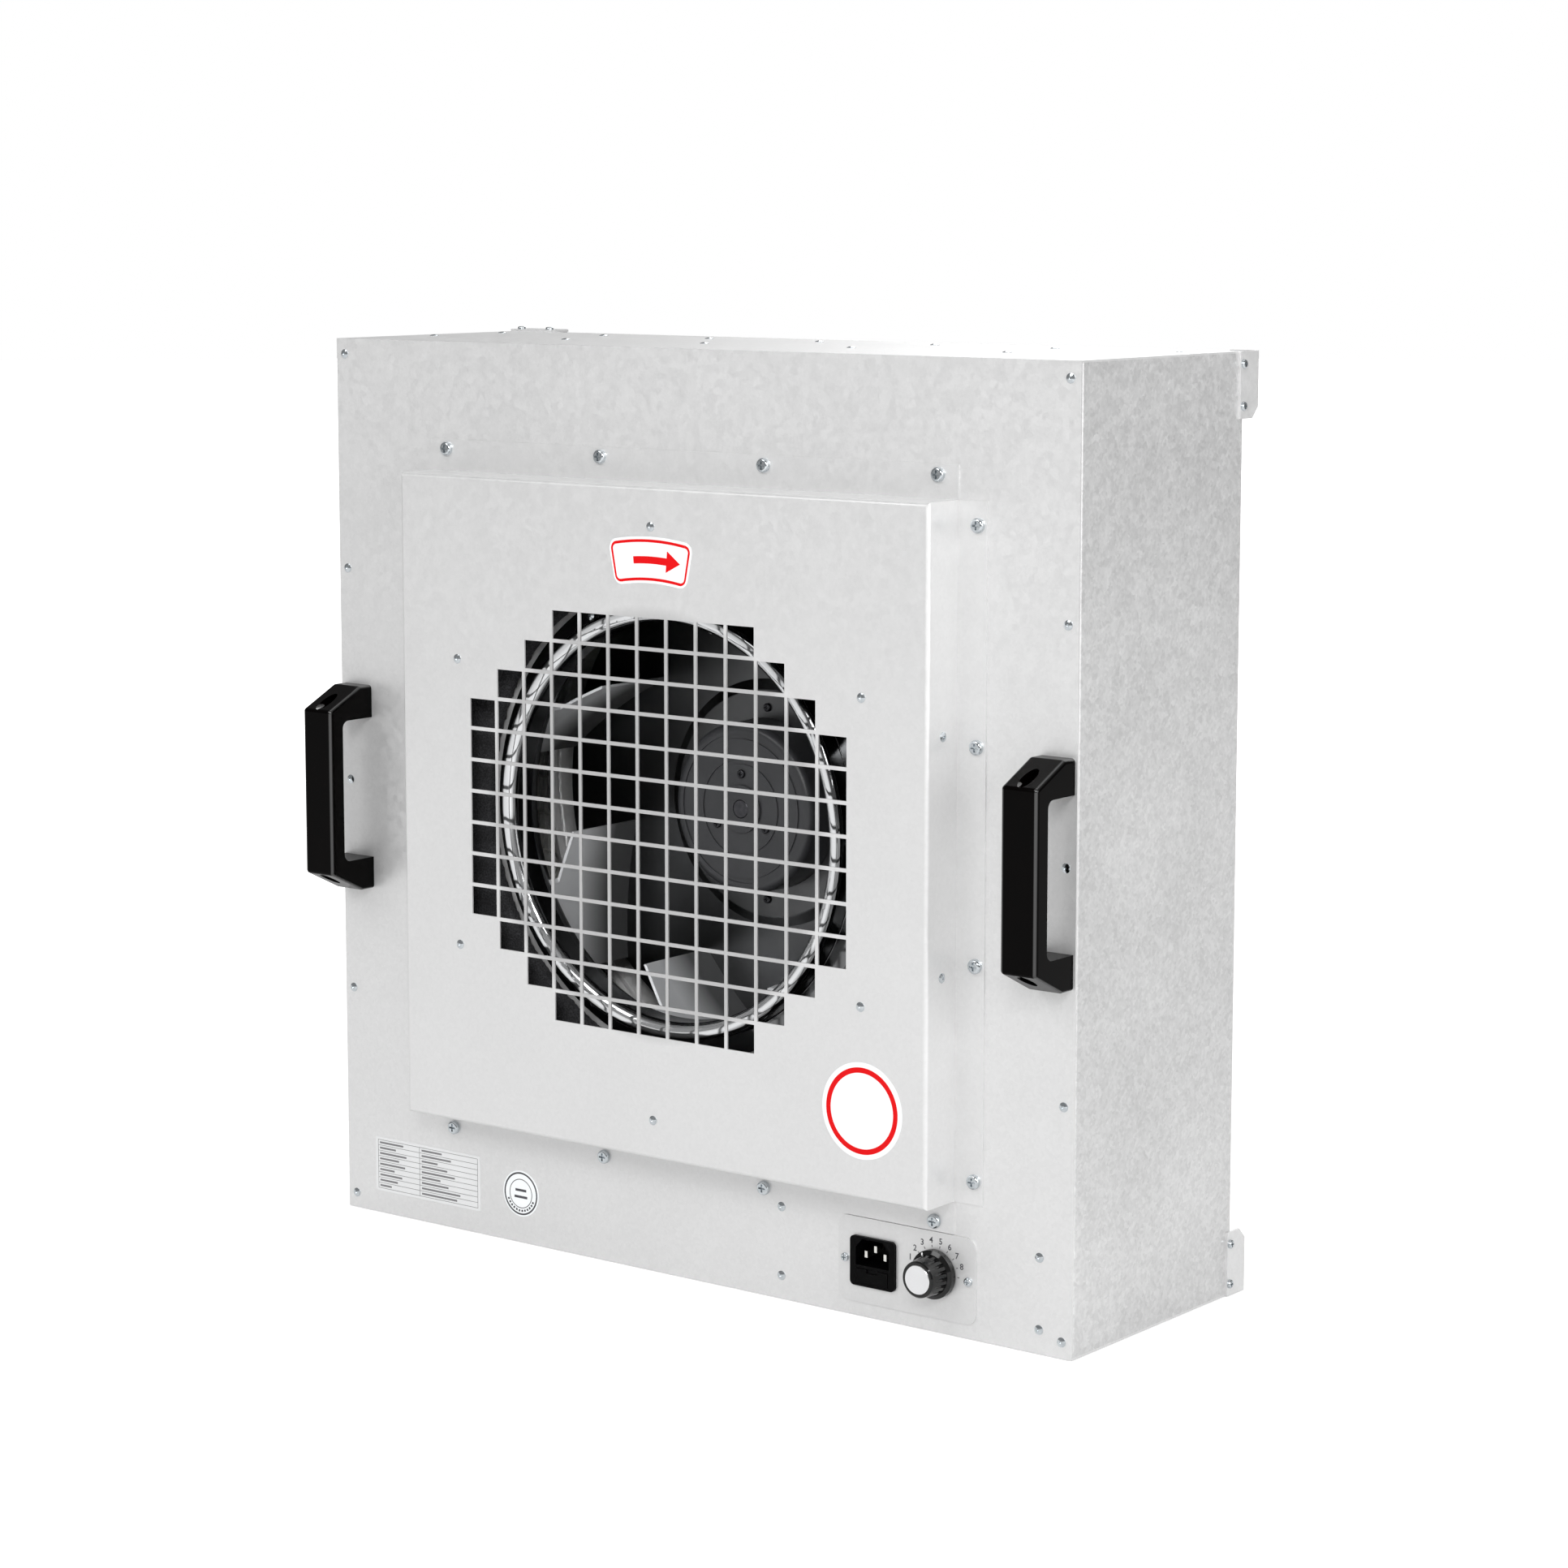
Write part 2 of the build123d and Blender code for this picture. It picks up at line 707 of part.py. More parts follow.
def side_panel(side):
    """One side sheet with its front flange and rear hem."""
    middle = half_width - casing_sheet / 2
    front = panel_back_y + casing_sheet / 2
    rear = rear_y - casing_sheet / 2
    points = [
        (half_width - front_flange, front),
        (middle, front),
        (middle, rear),
        (half_width - rear_hem, rear),
    ]
    section = bent(points, casing_sheet, casing_bend)
    panel = along_z(section, floor_z, ceiling_z)
    if side < 0:
        panel = mirror(panel, about=Plane.YZ)
    rivets = [(x, z) for x, z in edge_rivet_points() if x * side > 0]
    depth = (panel_back_y - casing_sheet, panel_back_y + 2 * casing_sheet)
    panel -= discs(rivets, rivet_shank_radius + fastener_clearance, *depth)
    panel -= discs(handle_screw_points(side), cap_radius + fastener_clearance, *depth)
    return panel - clip_screw_holes()


def level_section(height):
    """Top or bottom sheet's section of (depth, height): front flange, web and rear hem."""
    front = panel_back_y + casing_sheet / 2
    rear = rear_y - casing_sheet / 2
    inward = -1 if height > fan_z else 1
    edge = height - inward * casing_sheet / 2
    points = [
        (front, edge + inward * front_flange),
        (front, height),
        (rear, height),
        (rear, edge + inward * rear_hem),
    ]
    return bent(points, casing_sheet, casing_bend)


def level_panel(height):
    """Top or bottom sheet: a full-width web, with lips that fit between the side sheets' lips."""
    reach = half_width - front_flange - lip_gap
    lipped = along_x(level_section(height), -reach, reach)
    z0, z1 = height - casing_sheet / 2, height + casing_sheet / 2
    inset = casing_bend + casing_sheet
    web = block(-half_width, half_width, panel_back_y + inset, rear_y - inset, z0, z1)
    corner = block(reach, half_width, panel_back_y, rear_y, z0, z1)
    return lipped + web + corner + mirror(corner, about=Plane.YZ)


def top_panel():
    panel = level_panel(casing_height - casing_sheet / 2)
    bar = Cylinder(rivet_shank_radius + fastener_clearance, 4 * casing_sheet)
    places = top_rivet_places() + seat_rivet_places()
    panel -= [Pos(x, y, casing_height) * bar for x, y in places]
    return panel - clip_screw_holes()


def bottom_panel():
    """Bottom sheet, its front flange cut away round the control box."""
    panel = level_panel(casing_sheet / 2)
    reach = box_half_width + box_ear + lip_gap
    inset = casing_bend + casing_sheet
    low, high = control_x - reach, control_x + reach
    return panel - block(low, high, front_y, panel_back_y + inset, inset, 2 * front_flange)


def stiffener(inward, height):
    """A U-shaped rail lying with its web on the top or bottom sheet."""
    half = stiffener_width / 2 - casing_sheet / 2
    web = height + inward * casing_sheet / 2
    tip = height + inward * stiffener_height
    points = [
        (stiffener_y - half, tip),
        (stiffener_y - half, web),
        (stiffener_y + half, web),
        (stiffener_y + half, tip),
    ]
    reach = half_width - stiffener_inset
    return along_x(bent(points, casing_sheet, casing_bend), -reach, reach)


def panel_stiffeners():
    top = stiffener(-1, ceiling_z)
    bar = Cylinder(rivet_shank_radius + fastener_clearance, 6 * casing_sheet)
    top -= [Pos(x, y, ceiling_z) * bar for x, y in top_rivet_places()]
    return group([top, stiffener(1, floor_z)])


def side_foam():
    """Acoustic lining on both side sheets."""
    y0 = panel_back_y + foam_front_gap
    y1 = seat_front_y - foam_rear_gap
    z0, z1 = floor_z + foam_margin, ceiling_z - foam_margin
    right = block(inner_x - foam_thickness, inner_x, y0, y1, z0, z1)
    return group([right, mirror(right, about=Plane.YZ)])


# ---------------------------------------------------------------- inlet cover
def grille_holes():
    """The grille's openings, in rows that step out to a rough circle."""
    opening = Rectangle(grille_pitch_x - grille_bar, grille_pitch_z - grille_bar)
    middle = (len(grille_rows) - 1) / 2
    holes = []
    for row, count in enumerate(grille_rows):
        z = fan_z + grille_lift + (middle - row) * grille_pitch_z
        for column in range(count):
            x = (column - (count - 1) / 2) * grille_pitch_x
            holes.append(Pos(x, z) * opening)
    return Sketch() + holes


def cover_block(inset, bend):
    """The raised part as a filled block, drawn in by inset, with its front edges rounded."""
    x = cover_width / 2 - inset
    z = cover_height / 2 - inset
    solid = block(-x, x, cover_face_y + inset, front_y, fan_z - z, fan_z + z)
    front_edges = solid.faces().sort_by(Axis.Y)[0].edges()
    return fillet(front_edges, bend)


def inlet_cover():
    """Folded tray with four screwed flanges and the perforated grille in its face."""
    tray = cover_block(0, cover_bend + cover_sheet) - cover_block(cover_sheet, cover_bend)
    half_x, half_z = cover_width / 2, cover_height / 2
    y0, y1 = front_y - cover_sheet, front_y
    inner_x0 = half_x - cover_sheet
    inner_z0 = half_z - cover_sheet
    for side in (-1, 1):
        x0, x1 = sorted((side * inner_x0, side * (half_x + cover_flange)))
        tray += block(x0, x1, y0, y1, fan_z - half_z, fan_z + half_z)
        z0, z1 = sorted((side * inner_z0, side * (half_z + cover_flange)))
        tray += block(-half_x, half_x, y0, y1, fan_z + z0, fan_z + z1)
    tray -= along_y(grille_holes(), cover_face_y - 1, cover_back_y + 1)
    hole = fastener_clearance
    tray -= discs(cover_screw_points(), m4_radius + hole, y0 - 1, y1)
    tray -= discs(post_points(), rivet_shank_radius + hole, cover_face_y - 1, cover_back_y + 1)
    return tray - wall_rivet_holes()


def wall_rivet_holes():
    """Holes through the cover's side walls and the deck's flanges."""
    bar = Cylinder(rivet_shank_radius + fastener_clearance, 8 * cover_sheet)
    y = deck_back_y - deck_flange * 0.7
    return [
        placed(bar, (side * cover_width / 2, y, z), (side, 0, 0))
        for side in (-1, 1)
        for z in wall_rivet_heights()
    ]


def fan_deck():
    """Folded plate inside the cover that carries the inlet ring."""
    half = cover_width / 2 - cover_sheet - deck_sheet / 2
    middle = deck_back_y - deck_sheet / 2
    tip = deck_back_y - deck_flange
    points = [(-half, tip), (-half, middle), (half, middle), (half, tip)]
    reach = cover_height / 2 - cover_sheet - deck_end_gap
    deck = along_z(bent(points, deck_sheet, casing_bend), fan_z - reach, fan_z + reach)
    y0, y1 = deck_front_y - 1, deck_back_y + 1
    deck -= disc(0, fan_z, deck_hole_radius, y0, y1)
    deck -= discs(post_points(), post_radius + post_clearance, y0, y1)
    deck -= discs(ring_rivet_points(), rivet_shank_radius + fastener_clearance, y0, y1)
    return deck - wall_rivet_holes()


def inlet_foam():
    """Foam lining on the deck, round the inlet ring."""
    half_x = cover_width / 2 - cover_sheet - deck_sheet - casing_bend - foam_clearance
    half_z = cover_height / 2 - cover_sheet - deck_end_gap
    sketch = Rectangle(2 * half_x, 2 * half_z) - Circle(inlet_foam_hole_radius)
    foam = along_y(Pos(0, fan_z) * sketch, inlet_foam_y, deck_front_y)
    hole = post_radius + post_clearance
    return foam - discs(post_points(), hole, inlet_foam_y - 1, deck_front_y + 1)


def inlet_ring():
    """Spun bell mouth: flange, skirt, rolled lip, bell and throat."""
    half = ring_sheet / 2
    flange_y = deck_front_y - half
    lip_y = crest_y + half
    throat = ring_throat_radius + half
    points = [
        (ring_flange_radius, flange_y),
        (ring_skirt_radius - half, flange_y),
        (ring_skirt_radius - half, lip_y),
        (throat, lip_y),
        (throat, throat_end_y),
    ]
    radii = [ring_sheet, ring_lip_bend - half, ring_bell_bend]
    profile = trace(FilletPolyline(*points, radius=radii), ring_sheet)
    ring = turned(profile, z=fan_z)
    hole = rivet_shank_radius + fastener_clearance
    return ring - discs(ring_rivet_points(), hole, flange_y - 2, flange_y + 2)


def fan_posts():
    """Turned posts from the cover's face to the motor plate, bored at both ends."""
    y0, y1 = cover_back_y, motor_plate_y
    rivet_hole = rivet_shank_radius + fastener_clearance
    screw_hole = m4_radius + fastener_clearance
    posts = []
    for x, z in post_points():
        post = disc(x, z, post_radius, y0, y1)
        post -= disc(x, z, rivet_hole, y0, y0 + rivet_length)
        posts.append(post - disc(x, z, screw_hole, y1 - post_bore_depth, y1))
    return group(posts)


# ---------------------------------------------------------------- motor
def lead_way():
    """Where the lead starts, in the stator's flange, and which way it runs out."""
    start = Vector(0, stator_flange_y + stator_flange_thickness / 2, fan_z)
    turn = Vector(block_x, start.Y, block_top + lead_rise)
    return start, (turn - start).normalized()


def lead_bar(inner, outer, radius):
    """A straight bar along the lead's first run."""
    start, out = lead_way()
    middle = start + out * ((inner + outer) / 2)
    return Plane(middle, z_dir=out) * Cylinder(radius, outer - inner)


def motor_plate():
    """Round plate behind the impeller, with a turned-up rim."""
    half = motor_plate_thickness / 2
    rim = motor_plate_radius - half
    middle = motor_plate_y + half
    rim_end = motor_plate_back_y - motor_plate_rim
    points = [(motor_plate_bore, middle), (rim, middle), (rim, rim_end)]
    plate = turned(bent(points, motor_plate_thickness, motor_plate_bend), z=fan_z)
    holes = post_points() + motor_screw_points()
    y0, y1 = motor_plate_y - 1, motor_plate_back_y + 1
    plate -= discs(holes, m4_radius + fastener_clearance, y0, y1)
    notch_radius = lead_radius + lead_notch_clearance
    notch = lead_bar(motor_plate_radius - 10, motor_plate_radius + 10, notch_radius)
    return plate - notch


def stator_base():
    """Motor flange and spindle, bored for the two bearings."""
    profile = Polygon(
        (spindle_bore, spindle_front_y),
        (spindle_radius, spindle_front_y),
        (spindle_radius, stator_flange_y),
        (stator_flange_radius, stator_flange_y),
        (stator_flange_radius, motor_plate_y),
        (spindle_bore, motor_plate_y),
        align=None,
    )
    base = turned(profile, z=fan_z)
    seat = bearing_radius
    base -= disc(0, fan_z, seat, spindle_front_y, spindle_front_y + bearing_width)
    base -= disc(0, fan_z, seat, motor_plate_y - bearing_width, motor_plate_y)
    screw = m4_radius + fastener_clearance
    base -= discs(motor_screw_points(), screw, motor_plate_y - stator_bore_depth, motor_plate_y)
    return base - lead_bar(stator_flange_radius - 4, stator_flange_radius + 4, lead_radius)


def stator_core():
    """Slotted lamination stack on the spindle."""
    inner = spindle_radius + bearing_seat_clearance
    sketch = Circle(core_radius) - Circle(inner)
    slot_length = winding_outer_radius - winding_inner_radius
    slot_middle = (winding_outer_radius + winding_inner_radius) / 2
    slot = Pos(slot_middle, 0) * RectangleRounded(slot_length, slot_width, slot_width * 0.3)
    mouth = Pos(core_radius, 0) * Rectangle(2 * (core_radius - slot_middle), slot_mouth)
    for i in range(stator_slots):
        sketch -= Rot(0, 0, 360 * i / stator_slots) * (slot + mouth)
    return along_y(Pos(0, fan_z) * sketch, core_front_y, core_rear_y)


def stator_windings():
    """End turns on both faces of the stack."""
    ring = tube(
        0,
        fan_z,
        winding_outer_radius,
        winding_inner_radius,
        core_front_y - winding_front,
        core_front_y,
    )
    outer_edges = ring.faces().sort_by(Axis.Y)[0].edges()
    front = fillet(outer_edges, 3.0)
    rear = tube(
        0,
        fan_z,
        winding_outer_radius,
        winding_inner_radius,
        core_rear_y,
        core_rear_y + winding_rear,
    )
    return group([front, rear])


def bearing(y0):
    """A shielded ball bearing as one ring, its shields set in from both faces."""
    outer = bearing_radius - bearing_seat_clearance
    y1 = y0 + bearing_width
    ring = tube(0, fan_z, outer, shaft_radius, y0, y1)
    shield_outer = outer - bearing_ring
    shield_inner = shaft_radius + bearing_ring
    ring -= tube(0, fan_z, shield_outer, shield_inner, y0, y0 + shield_recess)
    return ring - tube(0, fan_z, shield_outer, shield_inner, y1 - shield_recess, y1)


def motor_shaft():
    """Shaft from the rotor's face to the rear bearing."""
    shaft = disc(0, fan_z, shaft_radius - shaft_clearance, shaft_front_y, motor_plate_y - 1)
    return chamfer(shaft.edges(), 0.6)


def rotor_cup():
    """External rotor: closed face with raised rings, wall round the stator, and a flange."""
    wall_inner = core_radius + air_gap
    hub = rotor_hub_radius
    shaft = shaft_radius - shaft_clearance
    inside_y = rotor_face_y + rotor_face
    profile = Polygon(
        (shaft, rotor_face_y),
        (rotor_radius, rotor_face_y),
        (rotor_radius, flange_front_y),
        (rotor_flange_radius, flange_front_y),
        (rotor_flange_radius, rotor_rear_y),
        (wall_inner, rotor_rear_y),
        (wall_inner, inside_y),
        (hub, inside_y),
        (hub, spindle_front_y - rotor_hub_gap),
        (shaft, spindle_front_y - rotor_hub_gap),
        align=None,
    )
    front_corner = profile.vertices().filter_by(
        lambda v: abs(v.X - rotor_radius) < 0.1 and abs(v.Y - rotor_face_y) < 0.1
    )
    cup = turned(fillet(front_corner, rotor_corner), z=fan_z)
    cup += tube(0, fan_z, hub, shaft, shaft_front_y, rotor_face_y)
    half = rotor_groove_width / 2
    for ring in rotor_grooves:
        floor_y = rotor_face_y + rotor_groove_depth
        cup -= tube(0, fan_z, ring + half, ring - half, rotor_face_y, floor_y)
    screw = m3_radius + fastener_clearance
    cup -= discs(around(3, rotor_screw_circle, first=90), screw, rotor_face_y, inside_y + 4)
    rim = around(6, flange_screw_circle, first=30)
    return cup - discs(rim, screw, flange_front_y, rotor_rear_y)


# ---------------------------------------------------------------- impeller
def impeller_backplate():
    """Dished plate on the rotor's flange."""
    half = impeller_sheet / 2
    front = backplate_front_y + half
    step_end = backplate_step_radius + 2 * backplate_step
    points = [
        (rotor_radius + 0.3, front),
        (backplate_step_radius, front),
        (step_end, front + backplate_step),
        (impeller_radius, front + backplate_step),
    ]
    plate = turned(bent(points, impeller_sheet, 1.0), z=fan_z)
    rim = around(6, flange_screw_circle, first=30)
    y0, y1 = backplate_front_y - 1, flange_front_y + 1
    return plate - discs(rim, m3_radius + fastener_clearance, y0, y1)


def shroud_points():
    """The shroud's middle line: eye, shoulder and rim, as (radius, depth)."""
    half = impeller_sheet / 2
    return [
        (impeller_eye_radius + half, eye_front_y),
        (impeller_eye_radius + half, shoulder_y),
        (impeller_radius, shroud_rim_y - half),
    ]


def impeller_shroud():
    """Front ring of the impeller, flared from the eye to the rim."""
    line = FilletPolyline(*shroud_points(), radius=shroud_bend)
    return turned(trace(line, impeller_sheet), z=fan_z)


def blade_space():
    """The room between the backplate and the shroud's inner face, open at the eye."""
    eye, shoulder, rim = shroud_points()
    half = impeller_sheet / 2
    flare = math.atan2(rim[1] - shoulder[1], rim[0] - shoulder[0])
    inner_x0 = eye[0] - half
    drop = half * (1 - math.sin(flare)) / math.cos(flare)
    corner = (inner_x0, shoulder[1] + drop)
    end = (rim[0] - half * math.sin(flare), rim[1] + half * math.cos(flare))
    ceiling = FilletPolyline((inner_x0, eye[1]), corner, end, radius=shroud_bend + half)
    start = ceiling @ 0
    finish = ceiling @ 1
    front = shoulder_y + blade_top_drop
    low = (blade_root_radius - blade_root_sweep, blade_floor_y)
    rest = Polyline(finish, (impeller_radius, blade_floor_y), low, (low[0], start.Y), start)
    room = make_face([ceiling, rest])
    cut = Polygon(
        (0, start.Y - 5),
        (inner_x0 + 1.0, start.Y - 5),
        (inner_x0 + 1.0, front),
        (blade_root_radius, front + blade_top_fall),
        (low[0], blade_floor_y),
        (0, blade_floor_y),
        align=None,
    )
    return turned(room - cut, z=fan_z)


def blade_angle(radius, centre, arc):
    """Polar angle at which the blade's arc crosses a radius."""
    return math.acos((radius**2 + centre**2 - arc**2) / (2 * radius * centre))


def impeller_blades():
    """Blades curved back against a clockwise turn: equal circular arcs from eye to rim."""
    root, tip = blade_root_radius, impeller_radius - blade_tip_gap
    inlet = root * math.cos(math.radians(blade_inlet_angle))
    outlet = tip * math.cos(math.radians(blade_outlet_angle))
    arc = (tip**2 - root**2) / (2 * (outlet - inlet))
    centre = math.sqrt(arc**2 + root**2 - 2 * arc * inlet)
    points = []
    for radius in (root, (root + tip) / 2, tip):
        angle = -blade_angle(radius, centre, arc)
        points.append((radius * math.cos(angle), radius * math.sin(angle)))
    root_angle = math.degrees(-blade_angle(root, centre, arc))
    strip = Rot(0, 0, blade_first_angle - root_angle) * trace(ThreePointArc(*points), impeller_sheet)
    space = blade_space()
    blades = []
    for i in range(blade_count):
        outline = Pos(0, fan_z) * Rot(0, 0, 360 * i / blade_count) * strip
        blades += (along_y(outline, eye_front_y, blade_floor_y) & space).solids()
    return group(blades)


# ---------------------------------------------------------------- filter
def seat_frame():
    """Angle frame inside the casing that the filter's gasket seats on."""
    half_x = inner_x
    half_z = fan_z - casing_sheet
    y1 = seat_front_y + seat_leg
    frame = block(-half_x, half_x, seat_front_y, y1, fan_z - half_z, fan_z + half_z)
    leg_x, leg_z = half_x - casing_sheet, half_z - casing_sheet
    frame -= block(-leg_x, leg_x, seat_back_y, y1, fan_z - leg_z, fan_z + leg_z)
    open_x, open_z = half_x - seat_reach, half_z - seat_reach
    frame -= block(-open_x, open_x, seat_front_y, y1, fan_z - open_z, fan_z + open_z)
    bar = Cylinder(rivet_shank_radius + fastener_clearance, 6 * casing_sheet)
    return frame - [Pos(x, y, ceiling_z) * bar for x, y in seat_rivet_places()]


def filter_sheet_shape(inset):
    """The filter's outline, drawn in by inset."""
    return Rectangle(2 * (filter_half_x - inset), 2 * (filter_half_z - inset))


def filter_ring(outer, inner, y0, y1):
    """A ring between two insets from the filter's outline."""
    ring = filter_sheet_shape(outer) - filter_sheet_shape(inner)
    return along_y(Pos(0, fan_z) * ring, y0, y1)


def filter_gasket():
    return filter_ring(gasket_inset, gasket_inset + gasket_width, seat_back_y, filter_front_y)


def filter_frame():
    """Extruded channel frame, open to the inside."""
    frame = filter_ring(0, filter_lip, filter_front_y, filter_back_y)
    y0, y1 = filter_front_y + filter_sheet, filter_back_y - filter_sheet
    return frame - filter_ring(filter_sheet, filter_lip + 1, y0, y1)


def filter_media():
    """Pleated paper pack: one folded sheet from wall to wall of the frame."""
    half = filter_half_x - filter_sheet - media_margin
    half_z = filter_half_z - filter_sheet - media_margin
    y0 = filter_front_y + filter_sheet
    y1 = filter_back_y - filter_sheet - guard_sheet
    step = half / pleat_count
    fold = media_thickness * (y1 - y0) / (step + media_thickness)
    count = 2 * pleat_count + 1
    front = [(-half + step * i, y0 if i % 2 == 0 else y1 - fold) for i in range(count)]
    back = [(x, y + fold) for x, y in reversed(front)]
    sheet = Polygon(*front, *back, align=None)
    return along_z(sheet, fan_z - half_z, fan_z + half_z)


def filter_guard():
    """Punched guard under the frame's rear lip."""
    window_x, window_z = filter_half_x - filter_lip, filter_half_z - filter_lip
    pitch_x, pitch_z = 2 * window_x / guard_holes, 2 * window_z / guard_holes
    opening = Rectangle(pitch_x - guard_bar, pitch_z - guard_bar)
    across = spread(guard_holes, window_x - pitch_x / 2)
    upward = spread(guard_holes, window_z - pitch_z / 2)
    sheet = filter_sheet_shape(filter_sheet + media_margin)
    sheet -= [Pos(x, z) * opening for x in across for z in upward]
    y1 = filter_back_y - filter_sheet
    return along_y(Pos(0, fan_z) * sheet, y1 - guard_sheet, y1)


def filter_clip():
    """Hooked clip, drawn for a face along +Z: it lies on the face and hooks over the filter."""
    half = clip_sheet / 2
    front = rear_y - clip_grip
    back = filter_back_y + half
    points = [(front, half), (back, half), (back, clip_sheet - clip_hook)]
    clip = along_x(bent(points, clip_sheet, 0.5), -clip_width / 2, clip_width / 2)
    corner = Polygon(
        (clip_width / 2, filter_back_y + clip_sheet),
        (clip_width / 2 - clip_chamfer, filter_back_y + clip_sheet),
        (clip_width / 2, filter_back_y + clip_sheet - clip_chamfer),
        align=None,
    )
    clip -= along_z(corner, -2 * clip_hook, clip_hook)
    hole = Cylinder(m3_radius + fastener_clearance, 4 * clip_sheet)
    y = rear_y - clip_screw_inset
    return clip - [Pos(i * clip_screw_spacing / 2, y, 0) * hole for i in (-1, 1)]


def filter_clips():
    """One clip at each corner of the casing, each on its own face."""
    clips = []
    for frame in clip_frames():
        clip = filter_clip()
        if frame.y_dir.Y < 0:
            clip = mirror(clip, about=Plane.XZ)
        clips.append(frame * clip)
    return group(clips)


# ---------------------------------------------------------------- handles
def handle(side):
    """Bridge handle with slanted ends, drawn as (depth, height) and carried across."""
    half = handle_length / 2
    top = front_y - handle_height
    foot = front_y - handle_foot
    outline = Polygon(
        (front_y, handle_middle - half),
        (foot, handle_middle - half),
        (top, handle_middle - half + handle_slant),
        (top, handle_middle + half - handle_slant),
        (foot, handle_middle + half),
        (front_y, handle_middle + half),
        align=None,
    )
    bridge = along_x(
        outline, side * handle_offset - handle_width / 2, side * handle_offset + handle_width / 2
    )
    outer_edges = bridge.edges().filter_by(lambda e: e.center().Y < front_y - 1)
    bridge = fillet(outer_edges, handle_edge)
    gap_half = half - handle_leg
    gap = block(
        side * handle_offset - handle_width,
        side * handle_offset + handle_width,
        top + handle_grip,
        front_y + 10,
        handle_middle - gap_half,
        handle_middle + gap_half,
    )
    gap_edges = gap.edges().filter_by(Axis.X).filter_by(lambda e: e.center().Y < front_y)
    bridge -= fillet(gap_edges, handle_gap_corner)
    points = handle_screw_points(side)
    bridge -= discs(points, cap_radius + fastener_clearance, top, front_y)
    well = cap_head_radius + handle_well_clearance
    return bridge - discs(points, well, top - 1, front_y - handle_screw_floor)


# ---------------------------------------------------------------- control panel
def control_plate():
    sketch = RectangleRounded(control_width, control_height, control_corner)
    plate = along_y(Pos(control_x, control_z) * sketch, plate_front_y, front_y)
    y0, y1 = plate_front_y - 1, front_y + 1
    width = inlet_body_width + 2 * hole_clearance
    height = inlet_body_height + 2 * hole_clearance
    plate -= along_y(Pos(inlet_x, inlet_z) * Rectangle(width, height), y0, y1)
    plate -= disc(knob_x, knob_z, bushing_radius + hole_clearance, y0, y1)
    return plate - discs(control_screw_points(), m3_radius + fastener_clearance, y0, y1)


def pin_points():
    """Live, neutral and earth, as (x, z)."""
    middle = inlet_z + socket_lift
    return [
        (inlet_x - pin_pitch / 2, middle - pin_offset),
        (inlet_x + pin_pitch / 2, middle - pin_offset),
        (inlet_x, middle + pin_offset),
    ]


def inlet_pins():
    y0 = inlet_face_y + pin_recess
    y1 = inlet_back_y + pin_tail
    return group(
        along_y(Pos(x, z) * Rectangle(pin_width, pin_height), y0, y1) for x, z in pin_points()
    )


def power_inlet():
    """Three-pin power inlet with a slot for the fuse drawer."""
    flange = RectangleRounded(inlet_flange_width, inlet_flange_height, inlet_flange_corner)
    body = along_y(Pos(inlet_x, inlet_z) * flange, inlet_face_y, plate_front_y)
    trunk = Rectangle(inlet_body_width, inlet_body_height)
    body += along_y(Pos(inlet_x, inlet_z) * trunk, plate_front_y, inlet_back_y)
    socket = Rectangle(socket_width, socket_height)
    upper = socket.vertices().group_by(Axis.Y)[-1]
    socket = Pos(inlet_x, inlet_z + socket_lift) * chamfer(upper, socket_chamfer)
    body -= along_y(socket, inlet_face_y, inlet_face_y + socket_depth)
    slots = [Pos(x, z) * Rectangle(pin_width, pin_height) for x, z in pin_points()]
    body -= along_y(Sketch() + slots, inlet_face_y, inlet_back_y)
    width = drawer_width + 2 * drawer_clearance
    height = drawer_height + 2 * drawer_clearance
    well = Pos(inlet_x, inlet_z - drawer_drop) * Rectangle(width, height)
    well_end = inlet_face_y + drawer_depth + drawer_stop_gap
    return body - along_y(well, inlet_face_y, well_end)


def fuse_drawer():
    """Drawer with a gripping notch in its face and a tray for two fuses."""
    z = inlet_z - drawer_drop
    y0 = inlet_face_y - drawer_proud
    y1 = inlet_face_y + drawer_depth
    drawer = along_y(Pos(inlet_x, z) * Rectangle(drawer_width, drawer_height), y0, y1)
    half = drawer_width / 2 - drawer_wall
    floor = z - drawer_height / 2 + drawer_wall
    tray_y = y1 - drawer_wall - fuse_length - fuse_play
    drawer -= block(inlet_x - half, inlet_x + half, tray_y, y1 - drawer_wall, floor, z + 20)
    notch_z = z + drawer_height / 2
    x0, x1 = inlet_x - notch_width / 2, inlet_x + notch_width / 2
    return drawer - block(x0, x1, y0, y0 + notch_depth, notch_z - notch_height, notch_z)


def fuses():
    """A working fuse and a spare, lying on the drawer's floor."""
    z = inlet_z - drawer_drop - drawer_height / 2 + drawer_wall + fuse_radius
    y0 = inlet_face_y + drawer_depth - drawer_wall - fuse_length - fuse_play / 2
    tubes = []
    for side in (-1, 1):
        x = inlet_x + side * fuse_pitch / 2
        fuse = disc(x, z, fuse_radius, y0, y0 + fuse_length)
        glass_y0, glass_y1 = y0 + fuse_cap, y0 + fuse_length - fuse_cap
        tubes.append(fuse - tube(x, z, fuse_radius + 1, fuse_radius - 0.2, glass_y0, glass_y1))
    return group(tubes)


